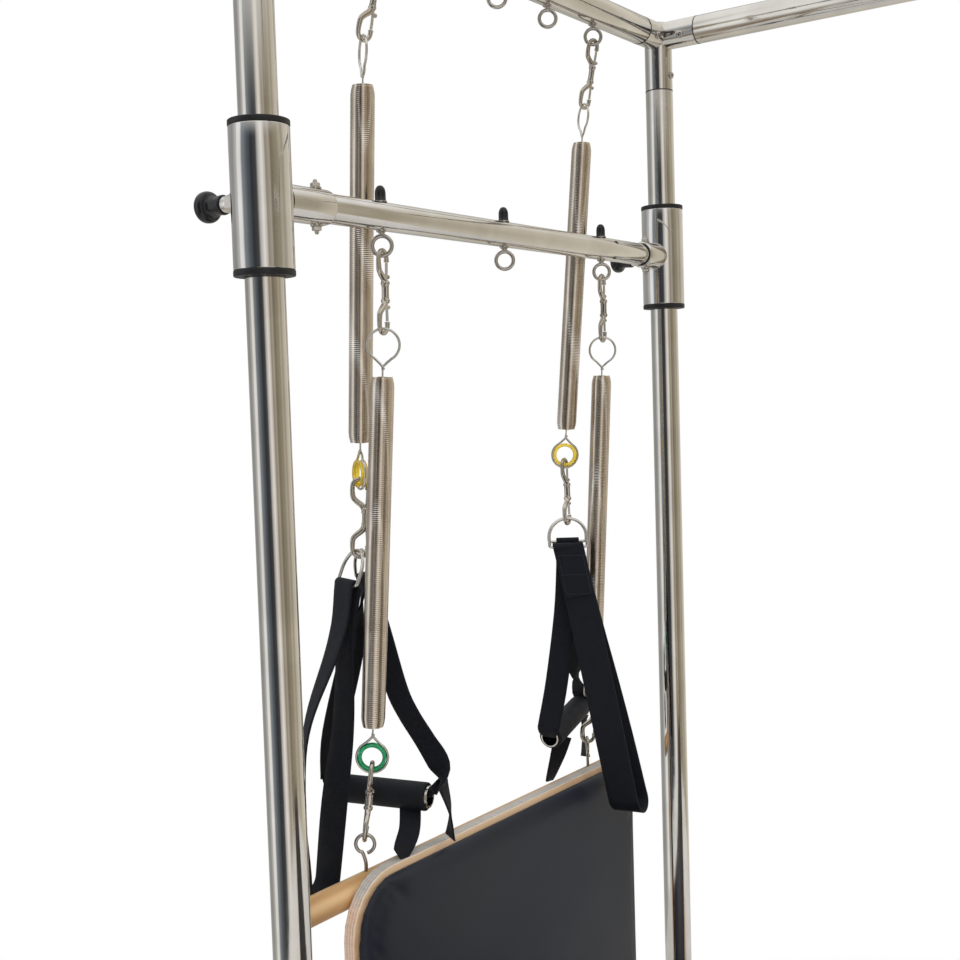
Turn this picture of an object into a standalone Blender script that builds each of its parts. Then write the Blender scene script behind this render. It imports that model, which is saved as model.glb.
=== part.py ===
"""Pilates trapeze table: wooden bed, steel canopy, sliding cross bar, springs, straps and roll-down bar.

Metres, +Z up. +X is the right side seen from the foot end, +Y the head end.
The origin is on the floor, under the middle of the table.
"""
import math

import bmesh
import bpy
from mathutils import Matrix, Vector

# Canopy tubes and their corner fittings
POST_SPACING_X = 0.796
POST_SPACING_Y = 2.050
TUBE_OD = 0.038
TUBE_WALL = 0.003
TOP_BAR_Z = 2.080
FITTING_ARM_X = 0.044
FITTING_ARM_Y = 0.063
FITTING_ARM_Z = 0.068
SPIGOT_LENGTH = 0.040
CORNER_ROUND = 0.006
ARM_SINK = 0.0002
TUBE_SIDES = 16

# Sliding cross bar, its collars and index plungers
CROSS_BAR_DROP = 0.308
CROSS_BAR_OD = 0.030
CROSS_BAR_WALL = 0.0025
COLLAR_OD = 0.058
COLLAR_WALL = 0.0025
COLLAR_LENGTH = 0.145
LINER_FLANGE = 0.006
LINER_RUNNING_GAP = 0.0005
STUB_OD = 0.0355
STUB_REACH_LEFT = 0.088
STUB_REACH_RIGHT = 0.066
STUB_FLOOR = 0.002
INDEX_PITCH = 0.050
INDEX_HOLES_BELOW = 5
INDEX_HOLES_ABOVE = 1
INDEX_HOLE_D = 0.0086
PLUNGER_PIN_D = 0.0080
PLUNGER_NECK_AF = 0.018
PLUNGER_NECK_LENGTH = 0.020
PLUNGER_KNOB_D = 0.031
PLUNGER_KNOB_LENGTH = 0.040
PLUNGER_STEM_D = 0.017
PLUNGER_STEM_FLARE = 0.0015
PLUNGER_HEAD_LENGTH = 0.016
PLUNGER_HEAD_CROWN = 0.006
PLUNGER_HEAD_BAND = 0.004
PLUNGER_FACE_SHARE = 0.75
PLUNGER_NOSE_ROUND = 0.001
PLUNGER_FACE_ROUND = 0.0015

# Eyes that springs hang from
EYE_MEAN_D = 0.0205
EYE_WIRE = 0.0045
EYE_STEM = 0.003
EYE_SHANK_D = 0.006
CAP_D = 0.0125
CAP_HEIGHT = 0.017
CAP_SHOULDER = 0.006
CAP_FLAT_DROP = 0.0015
CAP_FLAT_SHARE = 0.6
TOP_EYE_COUNT = 5
CROSS_EYE_PITCH = 0.225
TOP_EYE_PITCH = 0.109
SCREW_EYE_SHANK = 0.018

# Springs, the loops at their ends and the coloured thimbles
SPRING_OD = 0.026
SPRING_WIRE = 0.003
SPRING_BODY = 0.377
SPRING_CURLS = 9
POINTS_PER_CURL = 8
END_TAPER = 0.012
LOOP_MEAN_D = 0.034
NECK = 0.017
LOOP_OPENING_DEG = 38.0
END_SHARE = 0.25
THIMBLE_OD = 0.0290
THIMBLE_ID = 0.022
THIMBLE_WIDTH = 0.008
THIMBLE_EDGE = 0.001

# Double-ended snaps, rings and straps
SNAP_REACH = 0.086
SNAP_WIRE = 0.005
SNAP_HOOK_D = 0.0165
SNAP_HOOK_LENGTH = 0.024
SNAP_SHANK_D = 0.007
SNAP_THROAT = 0.003
SNAP_SHOULDER = 0.004
SNAP_GATE_RISE = 0.006
SNAP_GATE_SHARE = 0.95
DEE_WIDTH = 0.050
DEE_HEIGHT = 0.032
DEE_WIRE = 0.004
DEE_CORNER = 0.004
WEB_THICKNESS = 0.003
LOOP_WEB_WIDTH = 0.040
HANDLE_WEB_WIDTH = 0.030
LOOP_SPREAD = 0.036
GRIP_LENGTH = 0.116
GRIP_OD = 0.032
GRIP_BORE = 0.023
GRIP_SIDES = 12
GRIP_ROUND = 0.004
GRIP_EDGE_STEP = 0.002
GRIP_END_ROOM = 0.008
BORE_ROOM = 0.006
TURN_IN = 0.012
TURN_IN_STEP = 0.004
TAIL_LENGTH = 0.045
TAIL_WIDTH = 0.020
TAIL_RISE = 0.014
TAIL_KNEE = 0.020
TAIL_KICK = 0.003

# How the chains lean outward and splay sideways as they hang, in degrees
YELLOW_LEAN_ABOVE = 12.0
YELLOW_SPRING_LEAN = {"left": (4.8, 1.4), "right": (4.0, -2.4)}
YELLOW_SNAP_LEAN = {"left": (4.0, 1.4), "right": (-4.0, -4.0)}
GREEN_LEAN_ABOVE = 4.0
GREEN_LEAN = 4.8
GREEN_LEAN_BELOW = 2.0
GREEN_SPLAY = 1.0

# How far each D-ring tips off the vertical, in degrees
LOOP_RING_TILT = {"left": 14.0, "right": 10.0}
HANDLE_RING_TILT = {"left": 5.0, "right": 5.0}

# Where the straps hang: steps across and along the view from the lower snap, drop below the cross bar
LOOP_STEP = {"left": (-0.062, -0.030), "right": (0.066, -0.053)}
LOOP_DROP = {"left": 0.732, "right": 0.740}
GRIP_STEP = {"left": (0.011, 0.038), "right": (-0.007, 0.053)}
GRIP_DROP = {"left": 0.637, "right": 0.644}

# Bow of a handle's webbing from its ring to its grip, in shares of the half width and of the drop
HANDLE_BOW = ((0.12, 0.12), (0.36, 0.36), (0.74, 0.70), (0.96, 0.91))

# Compass turns of rings, loops and grips, in degrees from the view's own directions
RING_TURN = {"left": 16.0, "right": 0.0}
LOOP_TURN = {"left": 37.0, "right": -19.0}
GRIP_TURN = {"left": -20.0, "right": -24.0}

# Roll-down bar
DOWEL_D = 0.030
DOWEL_LENGTH = 0.700
DOWEL_ROUND = 0.003

# Bed
LEG_SIDE = 0.084
FRAME_TOP = 0.560
RAIL_HEIGHT = 0.150
SIDE_RAIL_THICK = 0.032
LEDGE = 0.020
END_RAIL_THICK = 0.034
POST_SOCKET_DEPTH = 0.060
DECK_THICK = 0.018
DECK_DROP = 0.005
MAT_THICK = 0.065
MAT_CROWN = 0.006
MAT_POST_ROOM = 0.005
MAT_HEAD_ROOM = 0.003
DRAWN_IN = 0.002
EDGE_CROWDING = 0.6
RAIL_TENON = 0.005
SOCKET_OVERRUN = 0.020
EDGE_ROUND = 0.004

# Padded board at the head end and the bracket that holds it
BOARD_WIDTH = 0.584
BOARD_TOP_DROP = 0.694
BOARD_PLY = 0.018
BOARD_PAD = 0.016
PAD_INSET = 0.002
PAD_ROUND = 0.006
BOARD_BACK_OUT = 0.030
BOARD_CORNER = 0.065
BRACKET_THICK = 0.005
BRACKET_BAR = 0.040
BRACKET_HALF_WIDTH = 0.190
BRACKET_RISE = 0.080
BRACKET_FOOT_RISE = 0.010

# Clearances
GAP = 0.0003
SLIP = 0.0003
LINK_GAP = 0.0008
THIMBLE_SEAT_GAP = 0.0030
DEE_GAP = 0.0027
DEE_SIDE_GAP = 0.0006

# Derived places
HALF_X = POST_SPACING_X / 2
HALF_Y = POST_SPACING_Y / 2
TUBE_R = TUBE_OD / 2
TUBE_BORE = TUBE_OD - 2 * TUBE_WALL
CROSS_Z = TOP_BAR_Z - CROSS_BAR_DROP
BOARD_TOP = CROSS_Z - BOARD_TOP_DROP
EYE_R = EYE_MEAN_D / 2
DOWN = Vector((0, 0, -1))
ACROSS_VIEW = Vector((0.582, -0.813, 0))
ALONG_VIEW = Vector((0.813, 0.582, 0))
OFF_AXIS = (1.0, 0.23, 0.0)

SHARP_ANGLE = 35

COLOURS = {
    "polished_steel": ((0.75, 0.74, 0.72), 0.15, 1.0),
    "spring_steel": ((0.62, 0.54, 0.46), 0.25, 1.0),
    "black_plastic": ((0.02, 0.02, 0.02), 0.45, 0.0),
    "black_webbing": ((0.015, 0.016, 0.02), 0.85, 0.0),
    "black_foam": ((0.03, 0.03, 0.035), 0.8, 0.0),
    "black_vinyl": ((0.02, 0.02, 0.022), 0.5, 0.0),
    "yellow_plastic": ((0.85, 0.65, 0.05), 0.3, 0.0),
    "green_plastic": ((0.02, 0.4, 0.2), 0.3, 0.0),
    "maple": ((0.80, 0.62, 0.42), 0.45, 0.0),
    "plywood": ((0.78, 0.58, 0.40), 0.5, 0.0),
}


def collection(name):
    made = bpy.data.collections.new(name)
    bpy.context.scene.collection.children.link(made)
    return made


def material(name):
    found = bpy.data.materials.get(name)
    if found:
        return found
    colour, roughness, metallic = COLOURS[name]
    made = bpy.data.materials.new(name)
    made.use_nodes = True
    shader = made.node_tree.nodes["Principled BSDF"]
    shader.inputs["Base Color"].default_value = (*colour, 1)
    shader.inputs["Roughness"].default_value = roughness
    shader.inputs["Metallic"].default_value = metallic
    return made


def add(name, data, finish, frame=None, parent=None):
    """Put mesh or curve data in the table's collection as an object named for its sub-part."""
    made = bpy.data.objects.new(name, data)
    TABLE.objects.link(made)
    made.matrix_world = frame if frame else Matrix()
    if finish:
        data.materials.append(material(finish))
    if parent:
        bpy.context.view_layer.update()
        made.parent = parent
        made.matrix_parent_inverse = parent.matrix_world.inverted()
    return made


def frame_at(origin, z_axis, x_hint=(1, 0, 0)):
    """A placement whose local Z runs along z_axis and whose local X is nearest to x_hint."""
    z = Vector(z_axis).normalized()
    x = Vector(x_hint)
    x = (x - z * x.dot(z)).normalized()
    y = z.cross(x)
    turned_axes = Matrix((x, y, z)).transposed().to_4x4()
    return Matrix.Translation(origin) @ turned_axes


def turned(name, profile, steps, finish, frame=None, parent=None, closed=True):
    """Turn a profile of (radius, height) points about local Z; it runs down its outer side."""
    mesh = bpy.data.meshes.new(name)
    points = [(radius, 0, height) for radius, height in profile]
    edges = [(i, i + 1) for i in range(len(points) - 1)]
    if closed:
        edges.append((len(points) - 1, 0))
    mesh.from_pydata(points, edges, [])
    made = add(name, mesh, finish, frame, parent)
    screw = made.modifiers.new("turn", "SCREW")
    screw.steps = screw.render_steps = steps
    screw.use_merge_vertices = True
    screw.merge_threshold = 0.00002
    return made


def pipe_profile(outer_d, bore_d, length, start=0.0):
    """Wall of a pipe that starts at `start` on local Z."""
    outer, inner = outer_d / 2, bore_d / 2
    return [(outer, start + length), (outer, start), (inner, start), (inner, start + length)]


def rod_profile(diameter, start, end, rounding=0.0):
    """Solid rod on local Z, with its end corners cut back by `rounding`."""
    radius = diameter / 2
    if not rounding:
        return [(0, end), (radius, end), (radius, start), (0, start)]
    return [(0, end), (radius - rounding, end), (radius, end - rounding),
            (radius, start + rounding), (radius - rounding, start), (0, start)]


def ring(name, mean_d, wire, finish, frame, steps=14, sides=6, parent=None):
    """Round ring of wire whose axis is local Z."""
    profile = []
    for i in range(sides):
        angle = math.pi / 2 - 2 * math.pi * i / sides
        profile.append((mean_d / 2 + wire / 2 * math.cos(angle), wire / 2 * math.sin(angle)))
    return turned(name, profile, steps, finish, frame, parent)


def box(name, low, high, finish, rounding=0.0, parent=None):
    """Upright box between two corners, with rounded edges where asked."""
    mesh = bpy.data.meshes.new(name)
    shape = bmesh.new()
    bmesh.ops.create_cube(shape, size=1)
    size = Vector(high) - Vector(low)
    middle = (Vector(high) + Vector(low)) / 2
    bmesh.ops.scale(shape, vec=size, verts=shape.verts)
    bmesh.ops.translate(shape, vec=middle, verts=shape.verts)
    if rounding:
        bmesh.ops.bevel(shape, geom=shape.edges[:], offset=rounding, segments=1, affect="EDGES")
    shape.to_mesh(mesh)
    shape.free()
    return add(name, mesh, finish, None, parent)


def outline_plate(name, points, thickness, finish, frame, parent=None):
    """Flat plate cut to a closed outline in its local XY, centred on local Z."""
    curve = bpy.data.curves.new(name, "CURVE")
    curve.dimensions = "2D"
    curve.fill_mode = "BOTH"
    curve.extrude = thickness / 2
    spline = curve.splines.new("POLY")
    spline.points.add(len(points) - 1)
    for point, (x, y) in zip(spline.points, points):
        point.co = (x, y, 0, 1)
    spline.use_cyclic_u = True
    return as_mesh(add(name, curve, finish, frame, parent))


def wire(name, points, diameter, finish, frame, closed=False, resolution=1, parent=None):
    """Round wire through hand-placed or computed points in the frame's own axes."""
    curve = bpy.data.curves.new(name, "CURVE")
    curve.dimensions = "3D"
    curve.bevel_depth = diameter / 2
    curve.bevel_resolution = resolution
    curve.use_fill_caps = not closed
    spline = curve.splines.new("POLY")
    spline.points.add(len(points) - 1)
    for point, place in zip(spline.points, points):
        point.co = (*place, 1)
    spline.use_cyclic_u = closed
    return as_mesh(add(name, curve, finish, frame, parent))


def as_mesh(curve_object):
    """Swap a curve object for its mesh, with the caps welded on."""
    bpy.context.view_layer.update()
    evaluated = curve_object.evaluated_get(bpy.context.evaluated_depsgraph_get())
    mesh = bpy.data.meshes.new_from_object(evaluated)
    shape = bmesh.new()
    shape.from_mesh(mesh)
    bmesh.ops.remove_doubles(shape, verts=shape.verts, dist=0.00001)
    bmesh.ops.recalc_face_normals(shape, faces=shape.faces)
    shape.to_mesh(mesh)
    shape.free()
    name, parent = curve_object.name, curve_object.parent
    place = curve_object.matrix_world.copy()
    bpy.data.objects.remove(curve_object)
    made = bpy.data.objects.new(name, mesh)
    TABLE.objects.link(made)
    made.matrix_world = place
    if parent:
        made.parent = parent
        made.matrix_parent_inverse = parent.matrix_world.inverted()
    return made


def to_cutters(tool):
    for home in tool.users_collection:
        home.objects.unlink(tool)
    CUTTERS.objects.link(tool)
    tool.hide_render = True
    tool.display_type = "WIRE"


def combine(base, tool, operation):
    step = base.modifiers.new(operation.lower(), "BOOLEAN")
    step.operation = operation
    step.object = tool
    to_cutters(tool)


def join(base, *tools):
    for tool in tools:
        combine(base, tool, "UNION")


def cut(base, *tools):
    for tool in tools:
        combine(base, tool, "DIFFERENCE")


def joint_empty(name, place):
    """Empty that stands on a joint's axis and carries what turns or slides there."""
    made = bpy.data.objects.new(name, None)
    TABLE.objects.link(made)
    made.location = place
    bpy.context.view_layer.update()
    return made


def tube_between(name, start, end, outer_d, bore_d, finish, steps=TUBE_SIDES, parent=None):
    along = Vector(end) - Vector(start)
    hint = (0, 0, 1) if abs(along.z) < abs(along.x) + abs(along.y) else (1, 0, 0)
    frame = frame_at(start, along, hint)
    return turned(name, pipe_profile(outer_d, bore_d, along.length), steps, finish, frame, parent)


def rod_between(name, start, end, diameter, finish=None, steps=TUBE_SIDES, rounding=0.0, parent=None,
                hint=None):
    along = Vector(end) - Vector(start)
    if hint is None:
        hint = (0, 0, 1) if abs(along.z) < abs(along.x) + abs(along.y) else (1, 0, 0)
    frame = frame_at(start, along, hint)
    profile = rod_profile(diameter, 0, along.length, rounding)
    return turned(name, profile, steps, finish, frame, parent, closed=False)


def corner(side_x, side_y):
    return Vector((side_x * HALF_X, side_y * HALF_Y, TOP_BAR_Z))


def build_posts():
    for end, side_y in (("head", 1), ("foot", -1)):
        for hand, side_x in (("left", -1), ("right", 1)):
            place = corner(side_x, side_y)
            bottom = Vector((place.x, place.y, FRAME_TOP - POST_SOCKET_DEPTH))
            top = place + DOWN * (FITTING_ARM_Z + GAP)
            post = tube_between(f"{end}_post_{hand}", bottom, top, TUBE_OD, TUBE_BORE, "polished_steel")
            if end == "head":
                cut(post, index_hole_drills(place, hand))


def index_hole_drills(place, hand):
    """Row of drills that pierce only the outer wall of a head post."""
    count = INDEX_HOLES_BELOW + INDEX_HOLES_ABOVE + 1
    lowest = CROSS_Z - INDEX_HOLES_BELOW * INDEX_PITCH
    start = Vector((place.x, place.y + TUBE_BORE / 4, lowest))
    end = start + Vector((0, TUBE_OD / 2, 0))
    drills = rod_between(f"index_drills_{hand}", start, end, INDEX_HOLE_D, steps=6)
    row = drills.modifiers.new("row", "ARRAY")
    row.count = count
    row.use_relative_offset = False
    row.use_constant_offset = True
    pitch = drills.matrix_world.to_3x3().inverted() @ Vector((0, 0, INDEX_PITCH))
    row.constant_offset_displace = pitch
    return drills


def build_fittings():
    """Three-way corners with the tubes' own diameter, whose spigots fill the tube ends."""
    for end, side_y in (("head", 1), ("foot", -1)):
        for hand, side_x in (("left", -1), ("right", 1)):
            centre = corner(side_x, side_y)
            name = f"corner_fitting_{end}_{hand}"
            upright = fitting_arm(name, centre, DOWN, FITTING_ARM_Z, -TUBE_R, "polished_steel")
            inward = fitting_arm(f"{name}_inward", centre, Vector((-side_x, 0, 0)), FITTING_ARM_X, 0)
            along = fitting_arm(f"{name}_along", centre, Vector((0, -side_y, 0)), FITTING_ARM_Y, 0)
            join(upright, inward, along)


def fitting_arm(name, centre, direction, arm, back, finish=None):
    """Arm of a corner: full tube diameter up to the tube's end, then the thinner spigot."""
    full = TUBE_R if finish else TUBE_R - ARM_SINK
    thin = TUBE_BORE / 2 - SLIP
    tip = arm + SPIGOT_LENGTH
    profile = [(0, tip), (thin, tip), (thin, arm), (full, arm), (full, back), (0, back)]
    if back < 0:
        profile[4:5] = [(full, back + CORNER_ROUND), (full - CORNER_ROUND, back)]
    hint = (0, 0, 1) if abs(direction.z) < 0.5 else (1, 0, 0)
    frame = frame_at(centre, direction, hint)
    return turned(name, profile, TUBE_SIDES, finish, frame, closed=False)


def build_top_tubes():
    for end, side_y in (("head", 1), ("foot", -1)):
        left = corner(-1, side_y) + Vector((FITTING_ARM_X + GAP, 0, 0))
        right = corner(1, side_y) - Vector((FITTING_ARM_X + GAP, 0, 0))
        bar = tube_between(f"{end}_top_bar", left, right, TUBE_OD, TUBE_BORE, "polished_steel")
        if end == "head":
            for i in range(TOP_EYE_COUNT):
                from_middle = i - (TOP_EYE_COUNT - 1) / 2
                place = Vector((from_middle * TOP_EYE_PITCH, HALF_Y, TOP_BAR_Z))
                join(bar, *eye_and_cap(f"top_eye_{i}", place, TUBE_R))
    for hand, side_x in (("left", -1), ("right", 1)):
        foot = corner(side_x, -1) + Vector((0, FITTING_ARM_Y + GAP, 0))
        head = corner(side_x, 1) - Vector((0, FITTING_ARM_Y + GAP, 0))
        tube_between(f"long_rail_{hand}", foot, head, TUBE_OD, TUBE_BORE, "polished_steel")


def eye_centre_drop(bar_r):
    return bar_r + EYE_STEM + EYE_WIRE / 2 + EYE_R


def eye_ring(name, centre, facing, finish=None):
    return ring(name, EYE_MEAN_D, EYE_WIRE, finish, frame_at(centre, facing, (0, 0, 1)), steps=11, sides=5)


def eye_and_cap(name, place, bar_r):
    """Eye below a bar, its shank through the bar and the domed nut on top."""
    centre = place + DOWN * eye_centre_drop(bar_r)
    eye = eye_ring(f"{name}_ring", centre, ALONG_VIEW)
    shank_end = centre + Vector((0, 0, EYE_R - EYE_WIRE / 4))
    shank = rod_between(f"{name}_shank", shank_end, place + DOWN * (bar_r - TUBE_WALL / 2), EYE_SHANK_D,
                        steps=7, hint=OFF_AXIS)
    cap = dome_cap(f"{name}_cap", place + Vector((0, 0, bar_r - GAP)))
    return eye, shank, cap


def dome_cap(name, seat, finish=None):
    radius = CAP_D / 2
    profile = [(0, CAP_HEIGHT), (radius * CAP_FLAT_SHARE, CAP_HEIGHT - CAP_FLAT_DROP),
               (radius, CAP_HEIGHT - CAP_SHOULDER), (radius, 0), (0, 0)]
    return turned(name, profile, 8, finish, Matrix.Translation(seat), closed=False)


def build_cross_bar(body):
    """Cross bar between the two collars, with three drilled eyebolts."""
    centre = Vector((0, HALF_Y, CROSS_Z))
    reach = HALF_X - COLLAR_OD / 2 - STUB_FLOOR - GAP
    left = centre - Vector((reach, 0, 0))
    right = centre + Vector((reach, 0, 0))
    bore = CROSS_BAR_OD - 2 * CROSS_BAR_WALL
    bar = tube_between("cross_bar", left, right, CROSS_BAR_OD, bore, "polished_steel", parent=body)
    radius = CROSS_BAR_OD / 2
    for i, side in enumerate(("left", "middle", "right")):
        place = centre + Vector(((i - 1) * CROSS_EYE_PITCH, 0, 0))
        top = place + Vector((0, 0, radius + GAP))
        drill = rod_between(f"eyebolt_drill_{side}", place + DOWN * CROSS_BAR_OD, place - DOWN * CROSS_BAR_OD,
                            EYE_SHANK_D + 2 * SLIP, steps=8)
        cut(bar, drill)
        base = dome_cap(f"eyebolt_{side}", top, "polished_steel")
        eye_place = place + DOWN * eye_centre_drop(radius)
        eye = eye_ring(f"eyebolt_ring_{side}", eye_place, ALONG_VIEW)
        low = eye_place + Vector((0, 0, EYE_R - EYE_WIRE / 4))
        shank = rod_between(f"eyebolt_shank_{side}", low, top - DOWN * CAP_HEIGHT / 4, EYE_SHANK_D, steps=7,
                            hint=OFF_AXIS)
        join(base, shank, eye)
        attach(base, body)


def attach(piece, body):
    bpy.context.view_layer.update()
    piece.parent = body
    piece.matrix_parent_inverse = body.matrix_world.inverted()


def build_collars(body):
    """Steel sleeves on the head posts with stubs for the cross bar, and their black liners."""
    sleeve_length = COLLAR_LENGTH - 2 * LINER_FLANGE
    sleeve_bore = COLLAR_OD - 2 * COLLAR_WALL
    liner_bore = TUBE_OD + 2 * LINER_RUNNING_GAP
    for hand, side, reach in (("left", -1, STUB_REACH_LEFT), ("right", 1, STUB_REACH_RIGHT)):
        axis = Vector((side * HALF_X, HALF_Y, CROSS_Z))
        up = DOWN * (GAP - sleeve_length / 2)
        sleeve = rod_between(f"collar_{hand}", axis - up, axis + up, COLLAR_OD, "polished_steel",
                             steps=20, parent=body)
        inward = Vector((-side, 0, 0))
        stub = rod_between(f"stub_{hand}", axis, axis + inward * reach, STUB_OD, hint=(0, 0.2, 1))
        join(sleeve, stub)
        bore = rod_between(f"collar_bore_{hand}", axis - 2 * up, axis + 2 * up, sleeve_bore, steps=20)
        floor = COLLAR_OD / 2 + STUB_FLOOR
        stub_bore = rod_between(f"stub_bore_{hand}", axis + inward * floor, axis + inward * 2 * reach,
                                CROSS_BAR_OD + 2 * SLIP)
        pin_hole = rod_between(f"collar_pin_hole_{hand}", axis + Vector((0, COLLAR_OD / 4, 0)),
                               axis + Vector((0, COLLAR_OD, 0)), PLUNGER_PIN_D + 2 * SLIP, steps=8)
        cut(sleeve, bore, stub_bore, pin_hole)
        build_liner(hand, axis, sleeve_length, sleeve_bore, liner_bore, body)
        build_plunger(hand, axis, body)


def build_liner(hand, axis, sleeve_length, sleeve_bore, liner_bore, body):
    outer = sleeve_bore / 2 - SLIP
    inner = liner_bore / 2
    flange = COLLAR_OD / 2
    half = sleeve_length / 2
    tip = half + LINER_FLANGE
    profile = [(inner, tip), (flange, tip), (flange, half), (outer, half),
               (outer, -half), (flange, -half), (flange, -tip), (inner, -tip)]
    liner = turned(f"collar_liner_{hand}", profile, 20, "black_plastic", Matrix.Translation(axis), body)
    hole = rod_between(f"liner_pin_hole_{hand}", axis + Vector((0, TUBE_BORE / 4, 0)),
                       axis + Vector((0, COLLAR_OD, 0)), PLUNGER_PIN_D + 2 * SLIP, steps=8)
    cut(liner, hole)


def build_plunger(hand, axis, body):
    """Hexagonal neck on the collar, and the sprung pin with its mushroom knob."""
    out = Vector((0, 1, 0))
    face = axis + out * (COLLAR_OD / 2 + GAP)
    neck_frame = frame_at(face, out, (0, 0, 1))
    across = PLUNGER_NECK_AF / 2 / math.cos(math.pi / 6)
    bore = (PLUNGER_PIN_D / 2 + SLIP) / math.cos(math.pi / 6)
    neck_profile = [(across, PLUNGER_NECK_LENGTH), (across, 0), (bore, 0), (bore, PLUNGER_NECK_LENGTH)]
    turned(f"plunger_neck_{hand}", neck_profile, 6, "polished_steel", neck_frame, body)
    slide = joint_empty(f"plunger_axis_{hand}", axis)
    attach(slide, body)
    nose = TUBE_R + GAP
    start = COLLAR_OD / 2 + GAP + PLUNGER_NECK_LENGTH + GAP
    tip = start + PLUNGER_KNOB_LENGTH
    head, stem, pin = PLUNGER_KNOB_D / 2, PLUNGER_STEM_D / 2, PLUNGER_PIN_D / 2
    crown = tip - PLUNGER_HEAD_CROWN
    neck = tip - PLUNGER_HEAD_LENGTH
    profile = [(0, tip), (head * PLUNGER_FACE_SHARE, tip - PLUNGER_FACE_ROUND), (head, crown),
               (head, crown - PLUNGER_HEAD_BAND), (head * PLUNGER_FACE_SHARE, neck + PLUNGER_FACE_ROUND),
               (stem, neck), (stem + PLUNGER_STEM_FLARE, start), (pin, start),
               (pin, nose + PLUNGER_NOSE_ROUND), (pin - PLUNGER_NOSE_ROUND, nose), (0, nose)]
    turned(f"plunger_{hand}", profile, 12, "black_plastic", frame_at(axis, out, (0, 0, 1)), slide,
           closed=False)


def spring_points(top_turn, bottom_turn):
    """One wire: top loop, neck, coils and bottom loop, hanging along local Z from the loop's top."""
    loop_r = LOOP_MEAN_D / 2
    coil_r = (SPRING_OD - SPRING_WIRE) / 2
    loop_steps = 12
    points = []
    open_angle = math.radians(LOOP_OPENING_DEG)
    for i in range(loop_steps + 1):
        angle = open_angle + (2 * math.pi - open_angle) * i / loop_steps
        across, down = loop_r * math.sin(angle), loop_r + loop_r * math.cos(angle)
        points.append((across * math.cos(top_turn), across * math.sin(top_turn), down))
    start = 2 * loop_r + NECK
    steps = SPRING_CURLS * POINTS_PER_CURL
    for i in range(steps + 1):
        share = i / steps
        down = start + SPRING_BODY * share
        from_end = min(share, 1 - share) * SPRING_BODY
        swell = math.sin(min(1, END_SHARE + (1 - END_SHARE) * from_end / END_TAPER) * math.pi / 2)
        angle = top_turn + 2 * math.pi * SPRING_CURLS * share
        points.append((coil_r * swell * math.cos(angle), coil_r * swell * math.sin(angle), down))
    centre = start + SPRING_BODY + NECK + loop_r
    for i in range(loop_steps + 1):
        angle = (2 * math.pi - open_angle) * i / loop_steps
        across, down = loop_r * math.sin(angle), centre - loop_r * math.cos(angle)
        points.append((across * math.cos(bottom_turn), across * math.sin(bottom_turn), down))
    return points


def least_gap(points, diameter):
    """Least clear distance from a wire to itself, past its own neighbouring points."""
    places = [Vector(p) for p in points]
    apart = 5
    nearest = min((places[i] - places[j]).length
                  for i in range(len(places)) for j in range(i + apart, len(places)))
    return nearest - diameter


SPRING_REACH = 2 * LOOP_MEAN_D + 2 * NECK + SPRING_BODY


class Chain:
    """Walks down a row of linked pieces, each starting inside the last one's lowest ring."""

    def __init__(self, place, wire_d):
        self.place = Vector(place)
        self.wire_d = wire_d

    def next_frame(self, wire_d, lean_deg, hint, splay_deg=0.0):
        """Frame at the next piece's top wire; lean is outward (+Y), splay is towards +X."""
        lean, splay = math.radians(lean_deg), math.radians(splay_deg)
        direction = Vector((math.tan(splay), math.tan(lean), -1)).normalized()
        start = self.place - direction * ((self.wire_d + wire_d) / 2 + LINK_GAP)
        self.direction = direction
        self.wire_d = wire_d
        return frame_at(start, direction, hint)

    def step(self, frame, reach):
        self.place = frame.translation + self.direction * reach
        return self.place


def snap_points():
    """Half outlines of the two hooks, one at each end of the shank, in local XZ."""
    radius = SNAP_HOOK_D / 2
    neck_z = SNAP_HOOK_LENGTH + SNAP_SHOULDER
    throat_z = SNAP_HOOK_LENGTH + SNAP_THROAT
    steps = 4
    hook = [(0, neck_z + SNAP_SHOULDER), (-SNAP_THROAT, throat_z)]
    for i in range(steps + 1):
        angle = math.pi + math.pi * i / steps
        hook.append((radius * math.cos(angle), radius + radius * math.sin(angle)))
    hook.append((radius * SNAP_GATE_SHARE, SNAP_HOOK_LENGTH - SNAP_GATE_RISE))
    hook.append((SNAP_THROAT, throat_z))
    return [(x, 0, z) for x, z in hook]


def build_snap(name, frame, parent):
    """Double-ended bolt snap: two hooks, their closed gates, a shank and a thumb stud."""
    half = snap_points()
    loop = wire(name, half, SNAP_WIRE, "polished_steel", frame, closed=True)
    turned_over = frame @ Matrix.Translation((0, 0, SNAP_REACH)) @ Matrix.Rotation(math.pi, 4, "Y")
    other = wire(f"{name}_lower_hook", half, SNAP_WIRE, None, turned_over, closed=True)
    inset = SNAP_HOOK_LENGTH + SNAP_GATE_RISE
    shank_frame = frame @ Matrix.Translation((0, 0, inset))
    profile = rod_profile(SNAP_SHANK_D, -SNAP_THROAT, SNAP_REACH - 2 * inset + SNAP_THROAT)
    shank = turned(f"{name}_shank", profile, 7, None, shank_frame, closed=False)
    join(loop, other, shank)
    if parent:
        attach(loop, parent)
    return loop


def build_spring(name, frame, top_turn, bottom_turn, parent):
    points = spring_points(top_turn, bottom_turn)
    print(f"{name}: least gap of the wire to itself {least_gap(points, SPRING_WIRE) * 1000:.2f} mm")
    return wire(name, points, SPRING_WIRE, "spring_steel", frame, parent=parent)


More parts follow.
